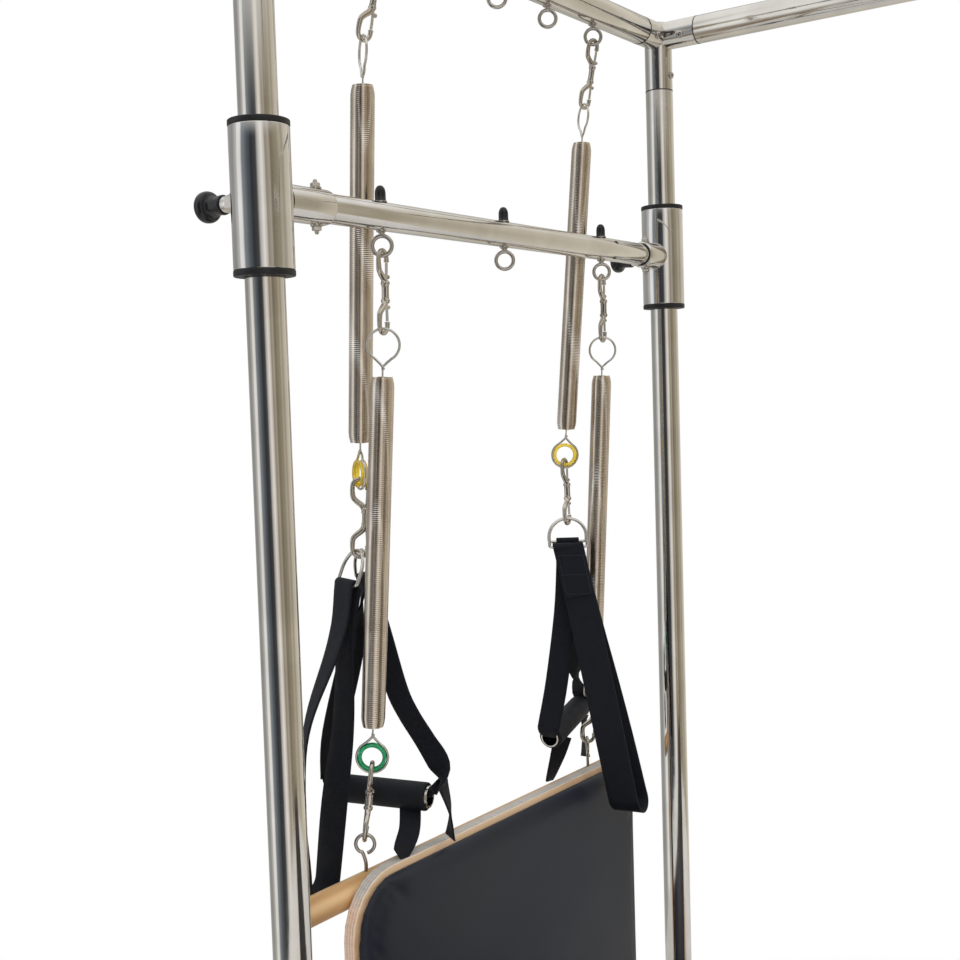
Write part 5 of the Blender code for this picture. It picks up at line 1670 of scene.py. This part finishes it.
@dataclass
class Straps:
    """D-rings, long loops and handles below the yellow springs."""

    shop: Workshop

    def build(self, hand: str, chain: ChainWalk) -> None:
        """Hang one side's rings, loop and handle from its lower snap.

        Args:
            hand: "left" or "right".
            chain: the chain, at the foot of its lower snap.
        """
        plan = HANDS[hand]
        bar_way = self.compass(plan.facing, plan.ring_turn)
        grip_way = self.compass(plan.beside, plan.grip_turn)
        normal = bar_way.cross(DOWN).normalized()
        if normal.dot(plan.beside) > 0:
            normal = -normal
        offset = STRAP.dee_wire / 2 + STRAP.dee_side_gap
        start = chain.place - chain.direction * ((SNAP.wire + STRAP.dee_wire) / 2 + STRAP.dee_gap)
        for kind, sign, tilt_deg in (("loop", 1, plan.loop_tilt), ("handle", -1, STRAP.handle_tilt)):
            tilt = math.radians(tilt_deg)
            crown = start + normal * sign * offset
            run = DOWN * math.cos(tilt) + normal * (sign * math.sin(tilt))
            frame = frame_at(crown, run, bar_way)
            body = f"long_loop_{hand}" if kind == "loop" else f"handle_{hand}"
            height = STRAP.dee_height if kind == "loop" else STRAP.grip_dee_height
            self.dee(f"{kind}_ring_{hand}", frame, height, body)
            bar = crown + run * height
            if kind == "loop":
                self.long_loop(hand, bar, self.hang_point(chain, plan.loop_step, plan.loop_drop), body)
            else:
                self.handle(hand, bar, self.hang_point(chain, plan.grip_step, plan.grip_drop), bar_way,
                            grip_way, body)

    @staticmethod
    def compass(way: Vector, turn_deg: float) -> Vector:
        """Horizontal direction turned about the vertical.

        Args:
            way: the direction.
            turn_deg: the turn in degrees.
        Returns:
            The turned direction.
        """
        return Matrix.Rotation(math.radians(turn_deg), 3, "Z") @ way

    @staticmethod
    def hang_point(chain: ChainWalk, step: tuple[float, float], drop: float) -> Vector:
        """Point a view-aligned step from the lower snap's foot, at a drop below the cross bar."""
        place = chain.place + ACROSS_VIEW * step[0] + ALONG_VIEW * step[1]
        return Vector((place.x, place.y, CROSS.z - drop))

    def dee(self, node: str, frame: Matrix, low: float, body: str) -> None:
        """Bent-wire D-ring with its flat bar at a drop below its crown."""
        half = STRAP.dee_width / 2
        points = [(half * math.cos(a), 0, half - half * math.sin(a)) for a in half_turn(16)]
        points += softened([(-half, 0, low - 0.006), (-half, 0, low), (0, 0, low), (half, 0, low),
                            (half, 0, low - 0.006)], STRAP.dee_corner, 5)
        path = [frame @ Vector(p) for p in points]
        self.shop.sweep(f"{node}_wire", path, STRAP.dee_wire / 2, Finish.RING, body, [node], sides=14, closed=True)

    def long_loop(self, hand: str, bar: Vector, bottom: Vector, body: str) -> None:
        """Webbing loop from a ring's bar, with its folded end sewn down.

        Args:
            hand: "left" or "right".
            bar: middle of the ring's flat bar.
            bottom: lowest middle point of the loop.
            body: the body that it rides on.
        """
        run = bottom - bar
        length = run.length
        way_down = run.normalized()
        low_r = STRAP.spread / 2
        straight = length - low_r
        table = HANDS[hand].loop_legs

        def leg(share: float, which: int) -> float:
            return eased(table, share, 1 + which)

        shares = [i / 28 for i in range(1, 28)]
        outline = [(STRAP.bar_r * math.cos(a), -STRAP.bar_r * math.sin(a)) for a in half_turn(12)]
        outline += [(-leg(share, 0), straight * share) for share in shares]
        outline += [(-low_r * math.cos(a), straight + low_r * math.sin(a)) for a in half_turn(16)]
        outline += [(leg(share, 1), straight * share) for share in reversed(shares)]

        def place(across: float, down: float) -> tuple[Vector, Vector]:
            share = min(max(down / length, 0.0), 1.0)
            side = self.compass(HANDS[hand].facing, eased(table, share, 3 if across < 0 else 4))
            open_way = side.cross(run).normalized()
            return bar + way_down * down + open_way * across, side

        line, sides = zip(*(place(a, d) for a, d in outline))
        self.shop.band(f"strap_loop_{hand}_webbing", line, sides, [STRAP.loop_width] * len(line), STRAP.woven,
                       Finish.WEBBING, body, [f"strap_loop_{hand}"], closed=True)
        self.lap(f"strap_loop_{hand}", place, leg, length, body)

    def lap(self, name: str, place: Callable[[float, float], tuple[Vector, Vector]],
            leg: Callable[[float, int], float], length: float, body: str) -> None:
        """Folded end of a loop: a second layer on one leg, with its box of stitches."""
        downs = [SEAM.start + SEAM.fold * i / 10 for i in range(11)]
        line, sides = zip(*(place(-leg(down / length, 0) - SEAM.fold_lift, down) for down in downs))
        self.shop.band(f"{name}_fold", line, sides, [STRAP.loop_width * 0.985] * len(line), STRAP.thin,
                       Finish.WEBBING, body)
        top, edge = SEAM.rows[0], SEAM.edge
        lines = [[(u, top + (SEAM.rows[-1] - top) * i / 16) for i in range(17)] for u in (-edge, edge)]
        lines += [[(-edge + 2 * edge * i / 10, d) for i in range(11)] for d in SEAM.rows]
        stitches = []
        for line in lines:
            for (u0, d0), (u1, d1) in zip(line, line[1:]):
                ends = []
                for share in (SEAM.skip, 1 - SEAM.skip):
                    down = d0 * (1 - share) + d1 * share
                    point, side = place(-leg(min(down / length, 1.0), 0) - SEAM.thread_lift, down)
                    ends.append(point + side * ((u0 * (1 - share) + u1 * share) * STRAP.loop_width))
                stitches.append(tuple(ends))
        self.stitched(f"{name}_stitches", stitches, body)

    def stitched(self, name: str, stitches: Sequence[tuple[Vector, Vector]], body: str) -> None:
        """Short raised threads as one curve piece turned to a mesh.

        Args:
            name: name of the piece.
            stitches: start and end of each thread.
            body: the body that it rides on.
        """
        curve = bpy.data.curves.new(name, "CURVE")
        curve.dimensions = "3D"
        curve.bevel_depth = STRAP.thread_r
        curve.bevel_resolution = 1
        curve.use_fill_caps = True
        for start, end in stitches:
            spline = curve.splines.new("POLY")
            spline.points.add(1)
            spline.points[0].co = (*start, 1)
            spline.points[1].co = (*end, 1)
        holder = linked(name, curve)
        bpy.context.view_layer.update()
        mesh = bpy.data.meshes.new_from_object(holder.evaluated_get(bpy.context.evaluated_depsgraph_get()))
        bpy.data.objects.remove(holder)
        mesh.shade_smooth()
        self.shop.finished(linked(name, mesh), Finish.THREAD, body)

    def handle(self, hand: str, bar: Vector, grip: Vector, across_top: Vector, along: Vector,
               body: str) -> None:
        """Foam grip on a webbing triangle, with its free tails.

        Args:
            hand: "left" or "right".
            bar: middle of the ring's flat bar.
            grip: middle of the grip.
            across_top: direction of the webbing's width at the ring.
            along: direction of the grip.
            body: the body that it rides on.
        """
        run = (grip - bar).normalized()
        along = (along - run * along.dot(run)).normalized()
        side = along.cross(run)
        side = side if side.dot(across_top) > 0 else -side
        top_way = across_top.cross(run).normalized()
        top_way = top_way if top_way.dot(along) > 0 else -top_way
        drop = (grip - bar).length
        half = STRAP.grip_half + STRAP.corner_reach
        narrow = 2 * STRAP.grip_bore_r - STRAP.narrowing
        path = [(STRAP.bar_r * math.cos(a), -STRAP.bar_r * math.sin(a), 1.0) for a in half_turn(8)]
        path += [(-half * s, drop * d, 1.0) for s, d in NEAR_LEG]
        reach = STRAP.grip_bore_r * math.cos(math.pi / 12)
        lift = math.sqrt(reach ** 2 - (narrow / 2) ** 2) - STRAP.thickness / 2 - LINK_GAP
        inside = drop - lift
        turn_in = [(half, inside - STRAP.turn_in, 1.0), (half, inside - 0.004, 0.6),
                   (half - 0.004, inside, 0.1), (half - STRAP.turn_in, inside, 0.0)]
        path += [(-a, d, w) for a, d, w in turn_in] + list(reversed(turn_in))
        path += [(half * s, drop * d, 1.0) for s, d in reversed(HANDS[hand].far_leg)]
        line, sides, widths = [], [], []
        for a, down, share_w in path:
            share = min(max(down / (inside - STRAP.turn_in), 0.0), 1.0)
            way = (top_way * (1 - share) + along * share).normalized()
            line.append(bar + way * a + run * down)
            plain = (across_top * (1 - share) + side * share).normalized()
            shown = ALONG_VIEW.cross(run).normalized() * (1 if a > 0 else -1)
            turn = math.radians(STRAP.leg_turn) * min(1.0, share / 0.35) * min(1.0, (1 - share) / 0.08)
            sides.append((plain * math.cos(turn) + shown * math.sin(turn)).normalized())
            widths.append(narrow + (STRAP.handle_width - narrow) * share_w)
        steps = 5
        smooth_sides = [v.normalized() for v in flowing(sides, steps, True)]
        smooth_widths = [v.x for v in flowing([Vector((w, 0, 0)) for w in widths], steps, True)]
        self.shop.band(f"handle_webbing_{hand}_strap", flowing(line, steps, True), smooth_sides, smooth_widths,
                       STRAP.woven, Finish.WEBBING, body, [f"handle_webbing_{hand}"], closed=True)
        for i, (places, turns) in enumerate(zip(HANDS[hand].tails, TAIL_TURNS)):
            self.tail(f"handle_tail_{hand}_{i + 1}", [grip + Vector(place) for place in places], turns, body)
        self.grip(hand, bar + run * drop, along, run, body)

    def tail(self, name: str, through: Sequence[Vector], turns: tuple[float, float], body: str) -> None:
        """Free tail of webbing that twists as it hangs.

        Args:
            name: name of the piece.
            through: three points that it passes through.
            turns: its turn away from the view at the top and at the foot, in degrees.
            body: the body that it rides on.
        """
        line = flowing(through, 10)
        sides = []
        for i in range(len(line)):
            turn = math.radians(turns[0] + (turns[1] - turns[0]) * i / (len(line) - 1))
            sides.append(ACROSS_VIEW * math.cos(turn) + ALONG_VIEW * math.sin(turn))
        self.shop.band(name, line, sides, [STRAP.tail_width] * len(line), STRAP.thin, Finish.WEBBING, body)

    def grip(self, hand: str, centre: Vector, along: Vector, run: Vector, body: str) -> None:
        """Foam sleeve on a short steel tube."""
        outer, bore, reach = STRAP.grip_r, STRAP.grip_bore_r, STRAP.grip_half
        frame = frame_at(centre, along, run)
        corners = [(bore, reach - 0.001), (outer, reach - 0.001), (outer, reach * 0.4), (outer, -reach * 0.4),
                   (outer, 0.001 - reach), (bore, 0.001 - reach)]
        self.shop.lathe(f"handle_grip_{hand}_foam", softened(corners, 0.0028, 5, closed=True), Finish.FOAM,
                        frame, body, [f"handle_grip_{hand}"], steps=56, hollow=True, sharp=60.0)
        wall = softened([(bore - 0.0012, reach + 0.002), (bore + 0.0010, reach + 0.002),
                         (bore + 0.0010, -reach - 0.002), (bore - 0.0012, -reach - 0.002)], 0.0006, 3, closed=True)
        self.shop.lathe(f"handle_grip_{hand}_tube", wall, Finish.RING, frame, body, steps=56, hollow=True)


@dataclass
class Chains:
    """All four rows of snaps and springs, the straps and the roll-down bar."""

    shop: Workshop
    fasteners: Fasteners
    hardware: Hardware
    straps: Straps
    head_y: float

    def build(self) -> None:
        """Hang every chain."""
        for hand in HANDS:
            self.yellow(hand)
        tops = {hand: self.green(hand) for hand in HANDS}
        self.roll_down_bar(tops)

    def seat_in_thimble(self, chain: ChainWalk, frame: Matrix) -> None:
        """Put the chain's place inside the thimble's bore."""
        chain.step(frame, SPRING.reach)
        inside = SPRING.thimble_r - SPRING.thimble_bore_r + (SPRING.loop_mean_d / 2 - SPRING.thimble_r)
        chain.place = chain.place - chain.direction * inside
        chain.wire = THIMBLE_SEAT_GAP

    def yellow(self, hand: str) -> None:
        """Spring from the top bar, with its straps."""
        plan = HANDS[hand]
        eye = Vector((plan.side * 2 * EYE.top_pitch, self.head_y, CANOPY.top_z))
        eye += DOWN * (EYE.drop(CANOPY.tube_r) + EYE.mean_r)
        chain = ChainWalk(eye, EYE.wire)
        lean, splay = plan.top_snap_lean
        frame = chain.next_frame(SNAP.wire, lean, Straps.compass(ALONG_VIEW, YELLOW_SNAP_TURN), splay)
        self.hardware.snap(f"yellow_top_snap_{hand}", frame, Body.FRAME)
        chain.step(frame, SNAP.reach)
        lean, splay = plan.spring_lean
        frame = chain.next_frame(SPRING.wire, lean, ACROSS_VIEW, splay)
        low_turn = math.radians(plan.yellow_loop_turn)
        self.hardware.spring(f"yellow_spring_{hand}", frame, math.radians(YELLOW_LOOP_TURN), low_turn,
                             Body.FRAME, Body.FRAME)
        self.hardware.thimble(f"yellow_thimble_{hand}", frame, low_turn, Finish.AMBER, Body.FRAME)
        self.seat_in_thimble(chain, frame)
        lean, splay = plan.snap_lean
        hint = Straps.compass(ALONG_VIEW, GREEN_SNAP_TURN) if hand == "right" else ACROSS_VIEW
        frame = chain.next_frame(SNAP.wire, lean, hint, splay)
        self.hardware.snap(f"yellow_lower_snap_{hand}", frame, Body.FRAME)
        chain.step(frame, SNAP.reach)
        self.straps.build(hand, chain)

    def green(self, hand: str) -> Vector:
        """Spring from the cross bar; gives the foot of its lower snap."""
        plan = HANDS[hand]
        eye = Vector((plan.side * CROSS.eye_pitch, self.head_y, CROSS.z))
        eye += DOWN * (EYE.drop(CROSS.bar_r) + EYE.mean_r)
        chain = ChainWalk(eye, EYE.wire)
        above, middle, below = plan.green_leans
        frame = chain.next_frame(SNAP.wire, above[0], Straps.compass(ALONG_VIEW, GREEN_SNAP_TURN), above[1])
        self.hardware.snap(f"green_top_snap_{hand}", frame, Body.CARRIAGE)
        chain.step(frame, SNAP.reach)
        frame = chain.next_frame(SPRING.wire, middle[0], ACROSS_VIEW, middle[1])
        low_turn = math.radians(plan.green_loop_turn)
        self.hardware.spring(f"green_spring_{hand}", frame, 0.0, low_turn, Body.CARRIAGE, Body.ROLL_DOWN)
        self.hardware.thimble(f"green_thimble_{hand}", frame, low_turn, Finish.GREEN, Body.ROLL_DOWN)
        self.seat_in_thimble(chain, frame)
        frame = chain.next_frame(SNAP.wire, below[0], plan.facing, below[1])
        self.hardware.snap(f"green_lower_snap_{hand}", frame, Body.ROLL_DOWN)
        chain.step(frame, SNAP.reach)
        return chain.place

    def roll_down_bar(self, tops: dict[str, Vector]) -> None:
        """Wooden dowel and the screw eye under each green chain."""
        low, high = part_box("roll_down_bar")
        radius = DOWEL.radius
        lap = (SNAP.wire + EYE.wire) / 2 + LINK_GAP
        eye_z = tops["left"].z + lap - EYE.mean_r
        axis_z = eye_z - EYE.mean_r - EYE.wire / 2 - DOWEL.shank - radius
        middle_y = (tops["left"].y + tops["right"].y) / 2
        length = high.x - low.x
        corners = [(0.001, 0.0), (radius, 0.0), (radius, length * 0.33), (radius, length * 0.66),
                   (radius, length), (0.001, length)]
        start = Vector((low.x, middle_y, axis_z))
        self.shop.lathe("roll_down_bar_dowel", softened(corners, 0.0035, 5), Finish.DOWEL,
                        frame_at(start, RIGHT_WAY, UP), Body.ROLL_DOWN, ["roll_down_bar"], steps=64,
                        sharp=60.0)
        for hand, top in tops.items():
            centre = Vector((top.x, middle_y, eye_z))
            frame = frame_at(centre, HANDS[hand].facing, UP)
            r = EYE.mean_r
            points = [(-(r + 0.020), 0.0, 0.0), (-(r + 0.010), 0.0, 0.0)]
            points += [(r * math.cos(a), r * math.sin(a), 0.0) for a in
                       (math.radians(198 + 330 * i / 20) for i in range(21))]
            path = flowing([frame @ Vector(p) for p in points], 3)
            self.shop.sweep(f"screw_eye_{hand}", path, DOWEL.eye_wire_r, Finish.WIRE, Body.ROLL_DOWN, sides=12)


@dataclass
class Bed:
    """Wooden bed, padded board, bracket and mat."""

    shop: Workshop
    fasteners: Fasteners

    def build(self) -> None:
        """Dress the bed's frame and upholster its pads."""
        for end in ("head", "foot"):
            self.shop.refined(f"{end}_frame", Finish.WOOD_X, Body.FRAME, 0.0025)
        for hand, _ in SIDES:
            self.shop.refined(f"side_rail_{hand}", Finish.WOOD_Y, Body.FRAME, 0.0025)
        self.shop.refined("deck", Finish.VENEER, Body.FRAME, 0.001)
        panel = self.shop.refined("board_panel", Finish.PLY, Body.FRAME, 0.0012)
        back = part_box("board_panel")[1].y
        for vert in panel.data.vertices:
            vert.co.y = back - (back - vert.co.y) * BOARD.ply_share
        self.shop.refined("board_bracket", Finish.FASTENER, Body.FRAME, 0.0008)
        self.bracket_bolts()
        for node, plan in PADS.items():
            self.pad(node, plan)

    def bracket_bolts(self) -> None:
        """Bolts through the bracket's uprights and its lower bar."""
        low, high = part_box("board_bracket")
        for hand, side in SIDES:
            for z in (high.z - 0.022, high.z - 0.058, low.z + 0.020):
                place = Vector((side * BOARD.bolt_x, high.y, z))
                self.fasteners.nut_and_bolt(f"bracket_{hand}_{int(z * 1000)}", place, HEAD_WAY, Body.FRAME,
                                            0.010, 0.003)

    def pad(self, node: str, plan: PadPlan) -> None:
        """Stuffed pad: a remeshed copy that is blown up as cloth, held flat at its back.

        Args:
            node: the CAD node that it stands for.
            plan: how it is stuffed.
        """
        mesh = bpy.data.objects[node].data.copy()
        if node == "board_pad":
            back_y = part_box("board_panel")[1].y
            for vert in mesh.vertices:
                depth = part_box(node)[1].y - vert.co.y
                vert.co.y = back_y - BOARD.ply - BOARD.seam - depth * BOARD.pad_share
        piece = linked(f"{node}_cushion", mesh)
        shape = bmesh.new()
        shape.from_mesh(mesh)
        bmesh.ops.remove_doubles(shape, verts=shape.verts, dist=Workshop.WELD)
        low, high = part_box(node)
        middle = (low + high) / 2
        back_way = Vector(plan.back)
        size = high - low
        for vert in shape.verts:
            offset = vert.co - middle
            for axis in range(3):
                if abs(back_way[axis]) < 0.5:
                    offset[axis] *= 1 - 2 * plan.shrink * 0.4 / size[axis]
            vert.co = middle + offset
        shape.to_mesh(mesh)
        shape.free()
        remesh = piece.modifiers.new("remesh", "REMESH")
        remesh.mode = "VOXEL"
        remesh.voxel_size = plan.voxel
        self.shop.apply(piece)
        self.inflate(piece, plan.pressure, plan.cap, back_way)
        smooth = piece.modifiers.new("smooth", "SMOOTH")
        smooth.factor = 0.5
        smooth.iterations = 3
        soft = piece.modifiers.new("soft", "SUBSURF")
        soft.levels = soft.render_levels = plan.levels
        self.shop.apply(piece)
        piece.data.shade_smooth()
        self.shop.finished(piece, Finish.VINYL, Body.FRAME, [node])

    @staticmethod
    def inflate(piece: bpy.types.Object, pressure: float, cap: float, back: Vector) -> None:
        """Run the cloth for its frames and keep the capped result.

        Args:
            piece: the remeshed pad.
            pressure: air pressure of the cloth.
            cap: most that a point may move.
            back: direction of the face that is pinned.
        """
        rest = [v.co.copy() for v in piece.data.vertices]
        far = max(p.dot(back) for p in rest)
        pinned = piece.vertex_groups.new(name="pinned")
        held = [i for i, p in enumerate(rest) if p.dot(back) > far - 0.004]
        pinned.add(held, 1.0, "REPLACE")
        cloth = piece.modifiers.new("cloth", "CLOTH")
        cloth.settings.use_pressure = True
        cloth.settings.uniform_pressure_force = pressure
        cloth.settings.effector_weights.gravity = 0.0
        cloth.settings.tension_stiffness = 12.0
        cloth.settings.vertex_group_mass = "pinned"
        cloth.settings.quality = 4
        cloth.point_cache.frame_start = 1
        cloth.point_cache.frame_end = CLOTH_FRAMES
        scene = bpy.context.scene
        for frame in range(1, CLOTH_FRAMES + 1):
            scene.frame_set(frame)
        graph = bpy.context.evaluated_depsgraph_get()
        moved = bpy.data.meshes.new_from_object(piece.evaluated_get(graph))
        piece.modifiers.clear()
        for vert, there, here in zip(piece.data.vertices, moved.vertices, rest):
            step = there.co - here
            if step.length > cap:
                step = step.normalized() * cap
            vert.co = here + step
        bpy.data.meshes.remove(moved)
        scene.frame_set(1)


@dataclass
class Studio:
    """Floor, soft light, surroundings and camera."""

    head_y: float

    def build(self) -> None:
        """Set the stage around the table."""
        self.camera()
        self.floor()
        self.surroundings()
        for name, plan in LAMPS.items():
            self.lamp(name, plan)
        bpy.context.scene.view_settings.view_transform = "Standard"

    def camera(self) -> None:
        """Camera at the photograph's angle, with its small off-centre framing."""
        ahead = Vector((math.cos(CAMERA.turn), math.sin(CAMERA.turn), 0))
        right = Vector((math.sin(CAMERA.turn), -math.cos(CAMERA.turn), 0))
        axes = Matrix((right, ahead.cross(right), ahead))
        seen = Matrix.Rotation(CAMERA.tip, 3, "X") @ Matrix.Rotation(CAMERA.roll, 3, "Z") @ axes
        facing = Matrix((seen[0], -seen[1], -seen[2])).transposed().to_4x4()
        data = bpy.data.cameras.new("camera")
        data.sensor_width = CAMERA.sensor
        data.lens = CAMERA.focal / CAMERA.pixels * CAMERA.sensor
        data.shift_x = -(CAMERA.centre[0] - CAMERA.pixels / 2) / CAMERA.pixels
        data.shift_y = (CAMERA.centre[1] - CAMERA.pixels / 2) / CAMERA.pixels
        data.clip_start = CAMERA.clip_start
        made = linked("camera", data)
        x, y, z = CAMERA.place
        made.matrix_world = Matrix.Translation((x, self.head_y + y, z)) @ facing
        bpy.context.scene.camera = made

    def floor(self) -> None:
        """Pale round floor that fades into the background away from the table."""
        mesh = bpy.data.meshes.new("floor")
        shape = bmesh.new()
        bmesh.ops.create_circle(shape, cap_ends=True, radius=FLOOR_RADIUS, segments=96)
        shape.to_mesh(mesh)
        shape.free()
        made = linked("floor", mesh)
        shader = Shader("floor")
        shader.set(Roughness=0.9, Specular_IOR_Level=0.1)
        shader.toned(shader.noise(40.0, 3.0), "#ECEBE9", "#F1F0EE")
        distance = shader.add("VectorMath", {0: shader.coords.outputs["Object"]}, operation="LENGTH")
        fade = shader.spread(distance.outputs["Value"], *FLOOR_FADE)
        seen = shader.math("MULTIPLY", fade, shader.add("LightPath").outputs["Is Camera Ray"])
        mixed = shader.merge(seen, shader.surface.outputs[0], shader.add("Emission").outputs[0])
        shader.wire(mixed, shader.tree.nodes["Material Output"].inputs["Surface"])
        mesh.materials.append(shader.material)

    @staticmethod
    def surroundings() -> None:
        """White for the camera, a plain grey for soft light, and a studio's bands for metal."""
        world = bpy.data.worlds.new("studio")
        world.use_nodes = True
        bpy.context.scene.world = world
        world.node_tree.nodes.clear()
        nodes = Nodes(world.node_tree)
        axes = nodes.axes(nodes.add("TexCoord").outputs["Generated"])
        share = nodes.spread(nodes.math("ARCTAN2", axes["Y"], axes["X"]), -math.pi, math.pi)
        walls, ground = (nodes.ramp(share, tones, "EASE") for tones in (WALL_TONES, GROUND_TONES))
        above = nodes.spread(axes["Z"], 0.40, 0.75, interpolation="SMOOTHSTEP")
        below = nodes.spread(nodes.math("MULTIPLY", axes["Z"], -1.0), 0.30, 0.7, interpolation="SMOOTHSTEP")
        room = nodes.mix(below, nodes.mix(above, walls, nodes.ramp(axes["Z"], CEILING_TONES)), ground)
        soft, strength = SOFT_LIGHT
        metal, plain, white = (nodes.add("Background", {"Color": colour, "Strength": power}).outputs[0]
                               for colour, power in ((room, 1.0), (linear(soft), strength),
                                                     (linear("#FFFFFF"), 1.0)))
        path = nodes.add("LightPath").outputs
        clear = nodes.math("MAXIMUM", path["Is Camera Ray"], path["Is Transmission Ray"])
        final = nodes.merge(clear, nodes.merge(path["Is Glossy Ray"], plain, metal), white)
        nodes.add("OutputWorld", {"Surface": final})

    def lamp(self, name: str, plan: LampPlan) -> None:
        """Soft square lamp, unseen in the metal.

        Args:
            name: name of the lamp.
            plan: its place, target, size and power.
        """
        data = bpy.data.lights.new(name, "AREA")
        data.shape = "RECTANGLE"
        data.size = data.size_y = plan.size
        data.energy = plan.power
        made = linked(name, data)
        made.visible_glossy = False
        target = Vector((0.0, self.head_y if plan.target_y is None else plan.target_y, plan.target_z))
        made.location = plan.place
        made.rotation_euler = (target - Vector(plan.place)).to_track_quat("-Z", "Y").to_euler()


def main() -> None:
    """Load the frame, dress every part of it and set the stage."""
    logging.basicConfig(level=logging.INFO, format="%(name)s: %(message)s")
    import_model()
    low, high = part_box("foot_post_left")
    head_y = (low.y + high.y) / 2 + 2 * CANOPY.half_length
    shop = Workshop(Finishes())
    fasteners = Fasteners(shop)
    Canopy(shop, fasteners, head_y).build()
    LOG.info("canopy built")
    CrossBar(shop, fasteners, head_y).build()
    LOG.info("cross bar built")
    Chains(shop, fasteners, Hardware(shop), Straps(shop), head_y).build()
    LOG.info("chains built")
    Bed(shop, fasteners).build()
    LOG.info("bed built")
    Studio(head_y).build()


if __name__ == "__main__":
    main()
